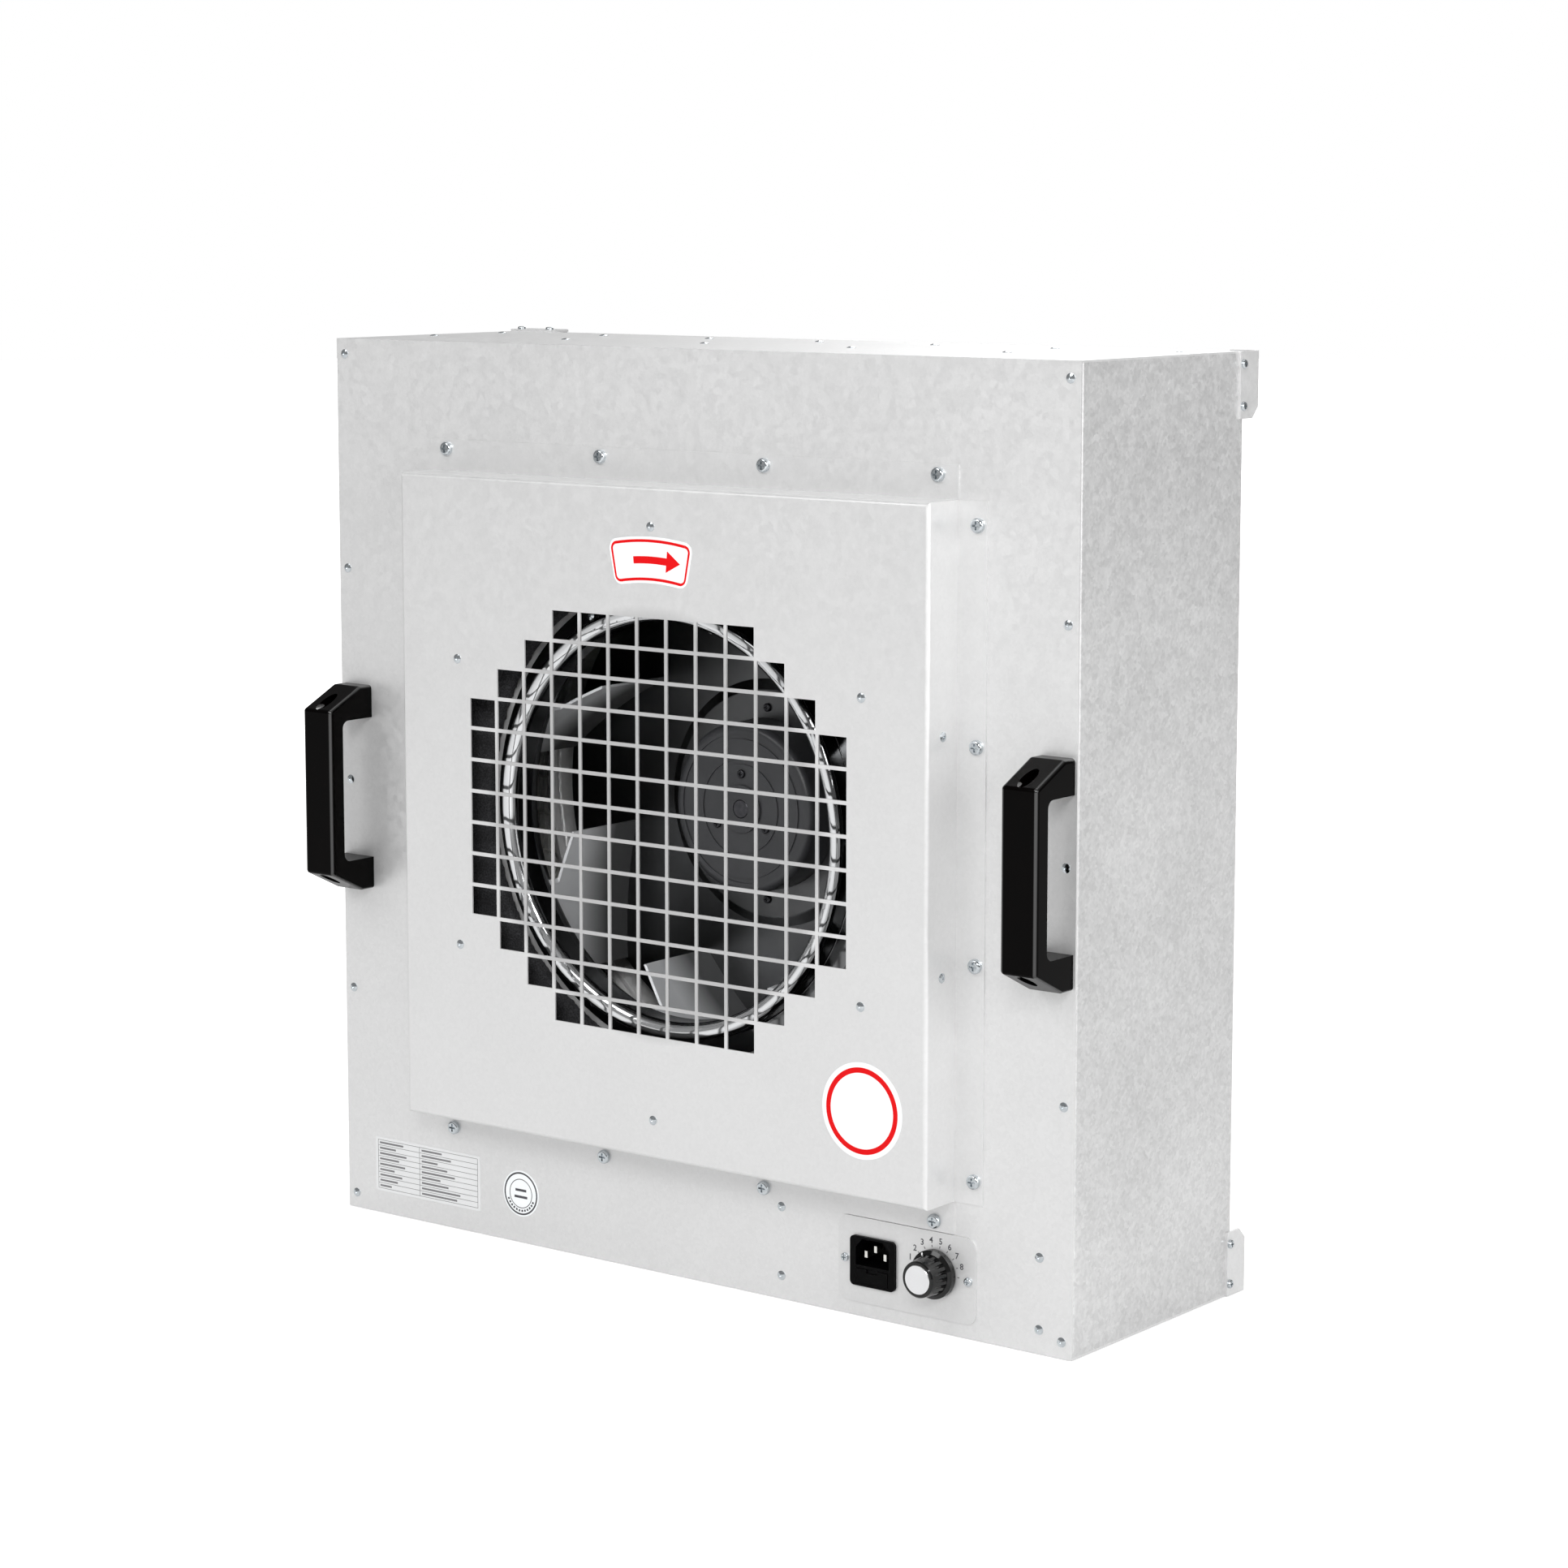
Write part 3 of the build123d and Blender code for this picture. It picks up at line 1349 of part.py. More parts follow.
def control_box():
    """Open-fronted sheet box behind the front panel, with riveted ears."""
    low, high = control_x - box_half_width, control_x + box_half_width
    z0, z1 = box_z - box_half_height, box_z + box_half_height
    y0 = panel_back_y
    box = block(low, high, y0, box_back_y, z0, z1)
    wall = box_sheet
    box -= block(low + wall, high - wall, y0, box_back_y - wall, z0 + wall, z1 - wall)
    box += block(low - box_ear, low + wall, y0, y0 + wall, z0, z1)
    box += block(high - wall, high + box_ear, y0, y0 + wall, z0, z1)
    hole = rivet_shank_radius + fastener_clearance
    box -= discs(box_rivet_points(), hole, y0 - 1, y0 + 2 * wall)
    grommet = Cylinder(lead_radius + 0.6, 4 * wall)
    return box - Pos(block_x, front_y + lead_depth, z1) * grommet


def speed_potentiometer():
    """Potentiometer behind the plate, with its threaded bushing through it."""
    body = disc(knob_x, knob_z, pot_radius, front_y, front_y + pot_depth)
    body += disc(knob_x, knob_z, bushing_radius, front_y - bushing_length, front_y)
    bore = pot_shaft_radius + pot_shaft_clearance
    body -= disc(knob_x, knob_z, bore, front_y - bushing_length, front_y + pot_depth - pot_back_wall)
    for i in (-1, 0, 1):
        x = knob_x + 5 * i
        y = front_y + pot_depth - pot_back_wall
        tab_z = knob_z + pot_radius - 1.5
        body += block(x - 0.9, x + 0.9, y, y + 0.8, tab_z, tab_z + 7)
    return body


def potentiometer_nut():
    outline = RegularPolygon(nut_radius, 6) - Circle(bushing_radius)
    return along_y(Pos(knob_x, knob_z) * outline, plate_front_y - nut_thickness, plate_front_y)


def knob_bore_end():
    """Depth at which the shaft ends inside the knob."""
    return knob_front_y + knob_bore_end_gap


def potentiometer_shaft():
    y1 = front_y + pot_depth - pot_back_wall - pot_shaft_end_gap
    return disc(knob_x, knob_z, pot_shaft_radius, knob_bore_end(), y1)


def speed_knob():
    """Fluted knob with a round skirt, hollow over the nut and bored for the shaft."""
    skirt_front = knob_back_y - knob_skirt
    profile = Polygon(
        (0, knob_back_y),
        (knob_skirt_radius, knob_back_y),
        (knob_skirt_radius, skirt_front + 1.2),
        (knob_root_radius, skirt_front),
        (knob_nose_radius, knob_front_y + 0.8),
        (knob_nose_radius - 0.8, knob_front_y),
        (0, knob_front_y),
        align=None,
    )
    knob = turned(profile, knob_x, knob_z)
    ring = (knob_root_radius + knob_nose_radius) / 2 + knob_flute_radius * 0.55
    flutes = around(knob_flutes, ring, x=knob_x, z=knob_z)
    knob -= discs(flutes, knob_flute_radius, knob_front_y - 1, skirt_front)
    knob -= disc(knob_x, knob_z, knob_hollow_radius, knob_back_y - knob_hollow_depth, knob_back_y)
    knob -= disc(knob_x, knob_z, pot_shaft_radius, knob_bore_end(), knob_back_y)
    recess = knob_front_y + knob_cap_thickness / 2
    return knob - disc(knob_x, knob_z, knob_cap_radius, knob_front_y - 1, recess)


def knob_cap():
    """Bright disc set into the knob's nose."""
    y1 = knob_front_y + knob_cap_thickness / 2
    cap = disc(knob_x, knob_z, knob_cap_radius, y1 - knob_cap_thickness, y1)
    return chamfer(cap.faces().sort_by(Axis.Y)[0].edges(), 0.3)


def terminal_block():
    """Screw terminal strip on the box's back wall, under the lead."""
    y1 = box_back_y - box_sheet
    low, high = block_x - block_width / 2, block_x + block_width / 2
    strip = block(low, high, y1 - block_depth, y1, block_top - block_height, block_top)
    pitch = block_width / terminal_count
    y0 = y1 - block_depth
    for i in range(terminal_count):
        x = low + pitch * (i + 0.5)
        z = block_top - block_height / 2
        strip -= disc(x, z, terminal_hole_radius, y0, y0 + terminal_hole_depth)
    return strip


def capacitor():
    """Motor run capacitor standing on the box's floor."""
    z0 = box_z - box_half_height + box_sheet
    can = Pos(capacitor_x, front_y + capacitor_y, z0 + capacitor_length / 2)
    return can * fillet(Cylinder(capacitor_radius, capacitor_length).edges(), 1.5)


def speed_module():
    """Speed control board with its heat sink, on four standoffs."""
    y1 = box_back_y - box_sheet
    board_y = y1 - module_standoff
    middle_x = control_x + module_shift
    x0, x1 = middle_x - module_width / 2, middle_x + module_width / 2
    z0 = box_z - module_height / 2
    z1 = box_z + module_height / 2
    face_y = board_y - module_board
    board = block(x0, x1, face_y, board_y, z0, z1)
    inset = module_inset
    corners = [(x, z) for x in (x0 + inset, x1 - inset) for z in (z0 + inset, z1 - inset)]
    board += discs(corners, module_standoff_radius, board_y, y1)
    low, high = z0 + heat_sink_margin, z1 - heat_sink_margin
    sink_y = face_y - heat_sink_height
    return board + block(x0 + heat_sink_start, x1 - inset, sink_y, face_y, low, high)


def motor_lead():
    """Sheathed lead from the stator's flange, past the plate's rim, into the control box."""
    start, out = lead_way()
    first = start + out * (stator_flange_radius - 4)
    turn = Vector(block_x, start.Y, block_top + lead_rise)
    drop = Vector(block_x, front_y + lead_depth, turn.Z)
    end = Vector(block_x, front_y + lead_depth, block_top)
    path = FilletPolyline(first, turn, drop, end, radius=lead_bend)
    section = Plane(first, z_dir=path % 0) * Circle(lead_radius)
    return sweep(section, path=path)


# ---------------------------------------------------------------- labels
def rating_label():
    sketch = Pos(rating_x, rating_z) * RectangleRounded(rating_width, rating_height, 1.0)
    return along_y(sketch, front_y - label_thickness, front_y)


def qc_sticker():
    return disc(sticker_x, sticker_z, sticker_radius, front_y - label_thickness, front_y)


def sector(shrink):
    """A curved band with its arc centre below it, drawn in by shrink on every side."""
    outer = arrow_label_radius + arrow_label_height / 2 - shrink
    inner = arrow_label_radius - arrow_label_height / 2 + shrink
    half = math.asin((arrow_label_width / 2 - shrink) / outer)
    ring = Circle(outer) - Circle(inner)
    reach = 2 * outer
    wedge = Polygon(
        (0, 0),
        (-reach * math.sin(half), reach * math.cos(half)),
        (reach * math.sin(half), reach * math.cos(half)),
        align=None,
    )
    outline = fillet((ring & wedge).vertices(), arrow_label_corner - shrink)
    return Pos(0, arrow_label_middle - arrow_label_radius) * outline


def arrow_label():
    return along_y(sector(0), cover_face_y - label_thickness, cover_face_y)


def arrow_print():
    """Red border and a plain curved arrow, standing a little proud of the label."""
    y1 = cover_face_y - label_thickness
    y0 = y1 - label_thickness / 2
    border = sector(print_margin) - sector(print_margin + print_border)
    shaft_half = math.radians(5.0)
    radius = arrow_label_radius
    middle = arrow_label_middle - arrow_label_radius
    band = Circle(radius + 2.2) - Circle(radius - 2.2)
    reach = 2 * radius
    wedge = Polygon(
        (0, 0),
        (-reach * math.sin(shaft_half), reach * math.cos(shaft_half)),
        (reach * math.sin(shaft_half), reach * math.cos(shaft_half)),
        align=None,
    )
    tip = Rot(0, 0, -math.degrees(shaft_half)) * Polygon(
        (-0.5, radius - 6.5), (-0.5, radius + 6.5), (10.0, radius), align=None
    )
    arrow = Pos(0, middle) * ((band & wedge) + tip)
    return group([along_y(border, y0, y1), along_y(arrow, y0, y1)])


def round_label():
    return disc(
        round_label_x,
        round_label_z,
        round_label_radius,
        cover_face_y - label_thickness,
        cover_face_y,
    )


def ring_print():
    y1 = cover_face_y - label_thickness
    inner = ring_print_radius - ring_print_width
    y0 = y1 - label_thickness / 2
    return tube(round_label_x, round_label_z, ring_print_radius, inner, y0, y1)


# ---------------------------------------------------------------- all nodes
NODES = {
    "front_panel": front_panel,
    "top_panel": top_panel,
    "bottom_panel": bottom_panel,
    "side_panel_left": lambda: side_panel(-1),
    "side_panel_right": lambda: side_panel(1),
    "panel_stiffeners": panel_stiffeners,
    "side_foam": side_foam,
    "inlet_cover": inlet_cover,
    "fan_deck": fan_deck,
    "inlet_foam": inlet_foam,
    "inlet_ring": inlet_ring,
    "fan_posts": fan_posts,
    "motor_plate": motor_plate,
    "plate_screws": plate_screws,
    "stator_base": stator_base,
    "stator_core": stator_core,
    "stator_windings": stator_windings,
    "bearing_front": lambda: bearing(spindle_front_y),
    "bearing_rear": lambda: bearing(motor_plate_y - bearing_width),
    "motor_shaft": motor_shaft,
    "rotor_cup": rotor_cup,
    "impeller_backplate": impeller_backplate,
    "impeller_blades": impeller_blades,
    "impeller_shroud": impeller_shroud,
    "impeller_screws": impeller_screws,
    "seat_frame": seat_frame,
    "filter_gasket": filter_gasket,
    "filter_frame": filter_frame,
    "filter_media": filter_media,
    "filter_guard": filter_guard,
    "filter_clips": filter_clips,
    "small_screws": small_screws,
    "handle_left": lambda: handle(-1),
    "handle_right": lambda: handle(1),
    "handle_screws": handle_screws,
    "cover_screws": cover_screws,
    "blind_rivets": blind_rivets,
    "control_plate": control_plate,
    "power_inlet": power_inlet,
    "inlet_pins": inlet_pins,
    "fuse_drawer": fuse_drawer,
    "fuses": fuses,
    "control_box": control_box,
    "speed_potentiometer": speed_potentiometer,
    "potentiometer_shaft": potentiometer_shaft,
    "potentiometer_nut": potentiometer_nut,
    "speed_knob": speed_knob,
    "knob_cap": knob_cap,
    "terminal_block": terminal_block,
    "capacitor": capacitor,
    "speed_module": speed_module,
    "motor_lead": motor_lead,
    "rating_label": rating_label,
    "qc_sticker": qc_sticker,
    "arrow_label": arrow_label,
    "arrow_print": arrow_print,
    "round_label": round_label,
    "ring_print": ring_print,
}

os.makedirs("parts", exist_ok=True)
for name, make in NODES.items():
    export_step(make(), f"parts/{name}.step")
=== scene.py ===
"""Looks for the fan filter unit: materials, prints, foam, pleats, light and camera."""

import json
import math

import bmesh
import bpy
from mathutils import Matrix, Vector


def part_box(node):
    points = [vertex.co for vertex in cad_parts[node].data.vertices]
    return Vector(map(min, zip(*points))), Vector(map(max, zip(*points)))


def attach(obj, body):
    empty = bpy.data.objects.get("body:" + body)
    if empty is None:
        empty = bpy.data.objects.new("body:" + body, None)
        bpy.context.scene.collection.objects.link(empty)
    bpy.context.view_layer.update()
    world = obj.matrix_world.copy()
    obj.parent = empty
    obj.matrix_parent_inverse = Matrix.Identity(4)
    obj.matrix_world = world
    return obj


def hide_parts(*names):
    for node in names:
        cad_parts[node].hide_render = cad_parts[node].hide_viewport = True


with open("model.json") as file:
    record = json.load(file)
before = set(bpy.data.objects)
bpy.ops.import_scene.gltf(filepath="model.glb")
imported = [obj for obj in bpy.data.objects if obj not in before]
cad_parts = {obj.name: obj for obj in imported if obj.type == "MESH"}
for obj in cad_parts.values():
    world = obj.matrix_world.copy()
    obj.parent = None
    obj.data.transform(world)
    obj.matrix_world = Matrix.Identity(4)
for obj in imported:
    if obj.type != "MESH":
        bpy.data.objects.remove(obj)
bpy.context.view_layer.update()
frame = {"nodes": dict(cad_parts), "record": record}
nodes = frame["nodes"]

MM = 0.001
FAN = Vector((0.0, 0.0, 0.2875))  # a point on the fan's axis
KNOB = Vector((0.192, 0.0, 0.036))  # a point on the knob's axis
PLATE_Y = -0.0885  # the control plate's face
PRINT = 0.00006  # thickness of a printed line
DIAL_START, DIAL_STEP = 180.0, 20.0  # degrees, anticlockwise from the right
POINTER = 118.0  # where the knob's pointer stands at rest, in the same degrees
SHEET_TONE = 0.73
GRILLE_SHADE_EDGE = (0.125, 0.135)  # radii between which the grille's painted shade fades out into the sheet's own tone
RING_LIT_CREST = (0.1250, 0.1300)  # radii of the inlet ring's crest; inside and outside them the ring is painted darker, painted shade
BLADE_SHADE = (-0.050, -0.020)  # depths between which the blades' painted shade deepens
SENSOR = 36.0  # mm
PICTURE_PIXELS = 1932.0
FOCAL_PIXELS = 4797.0  # the lens, in pixels of the picture
SOFT_LIGHT = 0.46  # the world's light on matt surfaces
SEEN_IN_GLOSS = 0.30  # the world as gloss and glass see it
FLOOR_RADIUS = 14.0
FLOOR_DROP = 0.0005  # keeps the floor just clear of the part's base
FLOOR_TONE = 0.84
GLOW_NEAR, GLOW_FAR = (0.6, 0.42), (2.6, 1.2)  # distance from the middle, floor's own light
LAMPS = (  # name, place, target, size in metres, watts
    ("key", (-1.2, -3.2, 2.9), (0.0, 0.0, 0.35), 1.8, 46.0),
    ("front_fill", (1.7, -2.8, 2.0), (0.0, -0.1, 0.3), 1.1, 56.0),
    ("right_fill", (3.4, -0.6, 1.2), (0.2, 0.0, 0.3), 1.8, 46.0),
    ("top_light", (0.2, 0.2, 3.2), (0.0, 0.0, 0.5), 2.4, 16.0),
    ("back_fill", (-1.2, 3.0, 2.4), (0.0, 0.0, 0.3), 1.8, 34.0),
)


# ---------------------------------------------------------------- camera
def add_camera():
    """The main view: right of the front, a little above, with a long lens."""
    yaw, pitch = math.radians(37.70), math.radians(7.66)
    data = bpy.data.cameras.new("camera")
    data.sensor_width = SENSOR
    data.lens = FOCAL_PIXELS / PICTURE_PIXELS * SENSOR
    data.shift_y = -0.04
    data.clip_start, data.clip_end = 0.05, 60.0
    camera = bpy.data.objects.new("camera", data)
    bpy.context.scene.collection.objects.link(camera)
    camera.location = (1.487, -1.9105, 0.665)
    level = math.cos(pitch)
    forward = Vector((-math.sin(yaw) * level, math.cos(yaw) * level, -math.sin(pitch)))
    camera.rotation_euler = forward.to_track_quat("-Z", "Y").to_euler()
    bpy.context.scene.camera = camera


# ---------------------------------------------------------------- light
def add_area(name, place, target, size, power):
    """A square white soft box aimed at a point."""
    data = bpy.data.lights.new(name, "AREA")
    data.shape = "SQUARE"
    data.size, data.energy = size, power
    lamp = bpy.data.objects.new(name, data)
    bpy.context.scene.collection.objects.link(lamp)
    lamp.location = place
    aim = Vector(target) - Vector(place)
    lamp.rotation_euler = aim.to_track_quat("-Z", "Y").to_euler()


def either_ray(tree, first, second):
    """1 for either kind of ray, else 0."""
    path = tree.nodes.new("ShaderNodeLightPath")
    either = tree.nodes.new("ShaderNodeMath")
    either.operation = "MAXIMUM"
    tree.links.new(path.outputs[first], either.inputs[0])
    tree.links.new(path.outputs[second], either.inputs[1])
    return either.outputs[0]


def background(tree, strength):
    node = tree.nodes.new("ShaderNodeBackground")
    node.inputs["Color"].default_value = (1.0, 1.0, 1.0, 1.0)
    node.inputs["Strength"].default_value = strength
    return node.outputs[0]


def mixed(tree, factor, first, second):
    node = tree.nodes.new("ShaderNodeMixShader")
    for source, target in zip((factor, first, second), node.inputs):
        tree.links.new(source, target)
    return node.outputs[0]


def add_world():
    """Soft light from all round; gloss and glass see a dimmer grey, the camera sees white."""
    world = bpy.data.worlds.new("studio")
    bpy.context.scene.world = world
    world.use_nodes = True
    tree = world.node_tree
    tree.nodes.clear()
    camera_ray = tree.nodes.new("ShaderNodeLightPath").outputs["Is Camera Ray"]
    gloss_or_glass = either_ray(tree, "Is Glossy Ray", "Is Transmission Ray")
    light = mixed(
        tree, gloss_or_glass, background(tree, SOFT_LIGHT), background(tree, SEEN_IN_GLOSS)
    )
    output = tree.nodes.new("ShaderNodeOutputWorld")
    tree.links.new(mixed(tree, camera_ray, light, background(tree, 1.0)), output.inputs["Surface"])


def add_floor():
    """A plain pale floor that keeps the object's shadow and runs out to the white background."""
    mesh = bpy.data.meshes.new("floor")
    shape = bmesh.new()
    bmesh.ops.create_circle(shape, cap_ends=True, segments=96, radius=FLOOR_RADIUS)
    shape.to_mesh(mesh)
    shape.free()
    floor = bpy.data.objects.new("floor", mesh)
    bpy.context.scene.collection.objects.link(floor)
    floor.location = (0.0, 0.0, -FLOOR_DROP)
    material = bpy.data.materials.new("pale_floor")
    material.use_nodes = True
    tree = material.node_tree
    shader = tree.nodes["Principled BSDF"]
    shader.inputs["Base Color"].default_value = (FLOOR_TONE, FLOOR_TONE, FLOOR_TONE, 1.0)
    shader.inputs["Roughness"].default_value = 0.9
    shader.inputs["Specular IOR Level"].default_value = 0.0
    place = tree.nodes.new("ShaderNodeTexCoord")
    away = tree.nodes.new("ShaderNodeVectorMath")
    away.operation = "LENGTH"
    tree.links.new(place.outputs["Object"], away.inputs[0])
    rise = tree.nodes.new("ShaderNodeMapRange")
    rise.interpolation_type = "SMOOTHSTEP"
    rise.inputs["From Min"].default_value, rise.inputs["To Min"].default_value = GLOW_NEAR
    rise.inputs["From Max"].default_value, rise.inputs["To Max"].default_value = GLOW_FAR
    tree.links.new(away.outputs["Value"], rise.inputs["Value"])
    glow = tree.nodes.new("ShaderNodeMath")
    glow.operation = "MULTIPLY"
    tree.links.new(either_ray(tree, "Is Camera Ray", "Is Transmission Ray"), glow.inputs[0])
    tree.links.new(rise.outputs["Result"], glow.inputs[1])
    shader.inputs["Emission Color"].default_value = (1.0, 1.0, 1.0, 1.0)
    tree.links.new(glow.outputs[0], shader.inputs["Emission Strength"])
    mesh.materials.append(material)


# ---------------------------------------------------------------- materials
class Finish:
    """A material with a Principled shader and short names for the nodes around it."""

    def __init__(self, name, colour, roughness, metallic=0.0):
        self.material = bpy.data.materials.new(name)
        self.material.use_nodes = True
        self.tree = self.material.node_tree
        self.shader = self.tree.nodes["Principled BSDF"]
        self.set("Base Color", (*colour, 1.0))
        self.set("Roughness", roughness)
        self.set("Metallic", metallic)
        where = self.tree.nodes.new("ShaderNodeTexCoord")
        self.place, self.normal = where.outputs["Object"], where.outputs["Normal"]

    def set(self, name, value):
        self.input(name).default_value = value
        return self

    def input(self, name):
        return self.shader.inputs[name]

    def join(self, source, target):
        self.tree.links.new(source, target)

    def stretched(self, scale):
        """Object coordinates scaled per axis, which draws a texture out along one of them."""
        node = self.tree.nodes.new("ShaderNodeMapping")
        node.inputs["Scale"].default_value = scale
        self.join(self.place, node.inputs["Vector"])
        return node.outputs["Vector"]

    def noise(self, scale, detail=3.0, rough=0.5, vector=None):
        node = self.tree.nodes.new("ShaderNodeTexNoise")
        node.inputs["Scale"].default_value = scale
        node.inputs["Detail"].default_value = detail
        node.inputs["Roughness"].default_value = rough
        self.join(vector or self.place, node.inputs["Vector"])
        return node.outputs["Fac"]

    def cells(self, scale, output="Color"):
        node = self.tree.nodes.new("ShaderNodeTexVoronoi")
        node.inputs["Scale"].default_value = scale
        self.join(self.place, node.inputs["Vector"])
        return node.outputs[output]

    def radius(self, centre):
        """Distance from an axis along Y through centre."""
        node = self.tree.nodes.new("ShaderNodeMapping")
        node.inputs["Location"].default_value = (-centre.x, 0.0, -centre.z)
        node.inputs["Scale"].default_value = (1.0, 0.0, 1.0)
        self.join(self.place, node.inputs["Vector"])
        length = self.tree.nodes.new("ShaderNodeVectorMath")
        length.operation = "LENGTH"
        self.join(node.outputs["Vector"], length.inputs[0])
        return length.outputs["Value"]

    def remap(self, source, low, high, start=0.0, end=1.0):
        node = self.tree.nodes.new("ShaderNodeMapRange")
        node.inputs["From Min"].default_value = start
        node.inputs["From Max"].default_value = end
        node.inputs["To Min"].default_value = low
        node.inputs["To Max"].default_value = high
        self.join(source, node.inputs["Value"])
        return node.outputs["Result"]

    def sum(self, first, second, operation="ADD"):
        node = self.tree.nodes.new("ShaderNodeMath")
        node.operation = operation
        for value, target in zip((first, second), node.inputs):
            if isinstance(value, (int, float)):
                target.default_value = value
            else:
                self.join(value, target)
        return node.outputs[0]

    def tint(self, source, dark, light):
        """Base colour between two colours, by a value from 0 to 1."""
        node = self.tree.nodes.new("ShaderNodeMix")
        node.data_type = "RGBA"
        colours = [socket for socket in node.inputs if socket.type == "RGBA"]
        for socket, colour in zip(colours, (dark, light)):
            socket.default_value = (*colour, 1.0)
        self.join(source, node.inputs["Factor"])
        result = next(socket for socket in node.outputs if socket.type == "RGBA")
        self.join(result, self.input("Base Color"))
        return self

    def shade(self, factor):
        """Multiplies the base colour by a value."""
        target = self.input("Base Color")
        node = self.tree.nodes.new("ShaderNodeVectorMath")
        node.operation = "SCALE"
        self.join(target.links[0].from_socket, node.inputs[0])
        self.join(factor, node.inputs["Scale"])
        self.join(node.outputs[0], target)
        return self

    def rough(self, source, low, high):
        self.join(self.remap(source, low, high), self.input("Roughness"))
        return self

    def bump(self, source, depth, strength=1.0):
        node = self.tree.nodes.new("ShaderNodeBump")
        node.inputs["Strength"].default_value = strength
        node.inputs["Distance"].default_value = depth
        self.join(source, node.inputs["Height"])
        self.join(node.outputs["Normal"], self.input("Normal"))
        return self


def coated_sheet(name, tone=1.0, mottle=0.06, grille_shade=False):
    """Aluminium-zinc coated sheet: fine mottled spangle with a faint wider cloud; grille_shade
    adds painted shade on the grille's bars.
    """
    base = Finish(name, (0.62, 0.63, 0.64), 0.42, 0.55)
    fine = base.cells(520.0)
    spangle = base.cells(210.0)
    cloud = base.noise(9.0, 2.0)
    grain = base.noise(900.0, 2.0)
    mix = base.sum(base.remap(fine, 0.0, 0.35), base.remap(spangle, 0.0, 0.25))
    mix = base.sum(mix, base.remap(cloud, 0.1, 0.30, 0.3, 0.7))
    low, high = ((v * tone,) * 3 for v in (SHEET_TONE - mottle, SHEET_TONE + mottle))
    base.tint(mix, low, high)
    if grille_shade:  # painted shade: the thin bars of the grille are darkened against the face round them
        base.shade(base.remap(base.radius(FAN), 0.74, 1.0, *GRILLE_SHADE_EDGE))
    base.rough(spangle, 0.36, 0.50)
    base.bump(base.sum(grain, base.remap(fine, 0.0, 0.6)), 0.00002, 0.5)
    return base.material


def open_foam(name):
    """Black open-cell foam."""
    base = Finish(name, (0.02, 0.02, 0.022), 0.95)
    pores = base.cells(900.0, "Distance")
    base.tint(pores, (0.008, 0.008, 0.009), (0.05, 0.05, 0.054))
    return base.bump(pores, 0.0006).material


def turned_metal(name, dark, light, centre, low=0.12, high=0.28, rings=2600.0, lit_band=None):
    """Bright metal with the fine circles of a lathe or spinning tool; lit_band paints shade on
    either side of a bright crest.
    """
    base = Finish(name, light, low, 1.0)
    radius = base.radius(centre)
    joined = base.tree.nodes.new("ShaderNodeCombineXYZ")
    base.join(radius, joined.inputs[0])
    lines = base.noise(rings, 2.0, 0.6, joined.outputs[0])
    smear = base.noise(30.0, 4.0)
    base.tint(smear, dark, light)
    if lit_band:  # painted shade: the ring is darkened inside and outside the crest's two radii, the crest stays bright
        inner, outer = lit_band
        rise = base.remap(radius, 0.25, 1.0, inner - 1.0 * MM, inner + 0.5 * MM)
        fall = base.remap(radius, 1.0, 0.22, outer, outer + 2.0 * MM)
        base.shade(base.sum(rise, fall, "MULTIPLY"))
    base.rough(lines, low, high)
    return base.bump(lines, 0.000015, 0.6).material


def rolled_metal(name, dark, light, low, high, along=(1.0, 1.0, 12.0)):
    """Mill-finish sheet: drawn-out streaks and faint smears."""
    base = Finish(name, light, low, 1.0)
    streaks = base.noise(160.0, 3.0, 0.6, base.stretched(along))
    smears = base.noise(22.0, 4.0)
    base.tint(smears, dark, light)
    base.rough(streaks, low, high)
    return base.bump(streaks, 0.00002, 0.4).material


def satin_blades():
    """Pale satin sheet for the impeller's blades, paler than the rest of the impeller as painted
    light, and darker with depth as painted shade.
    """
    base = Finish("blade_sheet_painted_light", (0.8, 0.8, 0.8), 0.4, 0.3)
    base.tint(base.noise(24.0, 4.0), (0.62, 0.63, 0.65), (0.90, 0.91, 0.92))
    depth = base.tree.nodes.new("ShaderNodeSeparateXYZ")
    base.join(base.place, depth.inputs[0])
    # painted shade growing with depth into the impeller, with slight painted light at the front
    base.shade(base.remap(depth.outputs["Y"], 1.05, 0.16, *BLADE_SHADE))
    return base.rough(base.noise(160.0, 3.0), 0.34, 0.5).material


def plated(name, dark, light, low, high):
    """Plated small parts: patchy tone, slightly uneven gloss."""
    base = Finish(name, light, low, 1.0)
    patches = base.noise(420.0, 3.0)
    base.tint(patches, dark, light)
    return base.rough(patches, low, high).material


def enamel(name, dark, light, low, high, grain=700.0, depth=0.00003):
    """Satin paint or powder coat with a light orange peel."""
    base = Finish(name, light, low)
    peel = base.noise(grain, 2.0)
    base.tint(base.noise(40.0, 3.0), dark, light)
    base.rough(base.noise(60.0, 3.0), low, high)
    return base.bump(peel, depth, 0.6).material


def moulded(name, dark, light, low, high, grain=1500.0, depth=0.00001, gloss=0.5, edges=None):
    """Moulded plastic, from matt to glossy; edges gives the rounded edges along X more gloss."""
    base = Finish(name, light, low)
    base.tint(base.noise(70.0, 3.0), dark, light)
    base.rough(base.noise(35.0, 4.0), low, high)
    base.set("Specular IOR Level", gloss)
    if edges:
        facing = base.tree.nodes.new("ShaderNodeSeparateXYZ")
        base.join(base.normal, facing.inputs[0])
        across = base.sum(facing.outputs["X"], 0.0, "ABSOLUTE")
        slope = base.sum(across, base.sum(1.0, across, "SUBTRACT"), "MULTIPLY")
        base.join(base.remap(slope, gloss, edges, 0.10, 0.22), base.input("Specular IOR Level"))
    return base.bump(base.noise(grain, 2.0), depth, 0.5).material


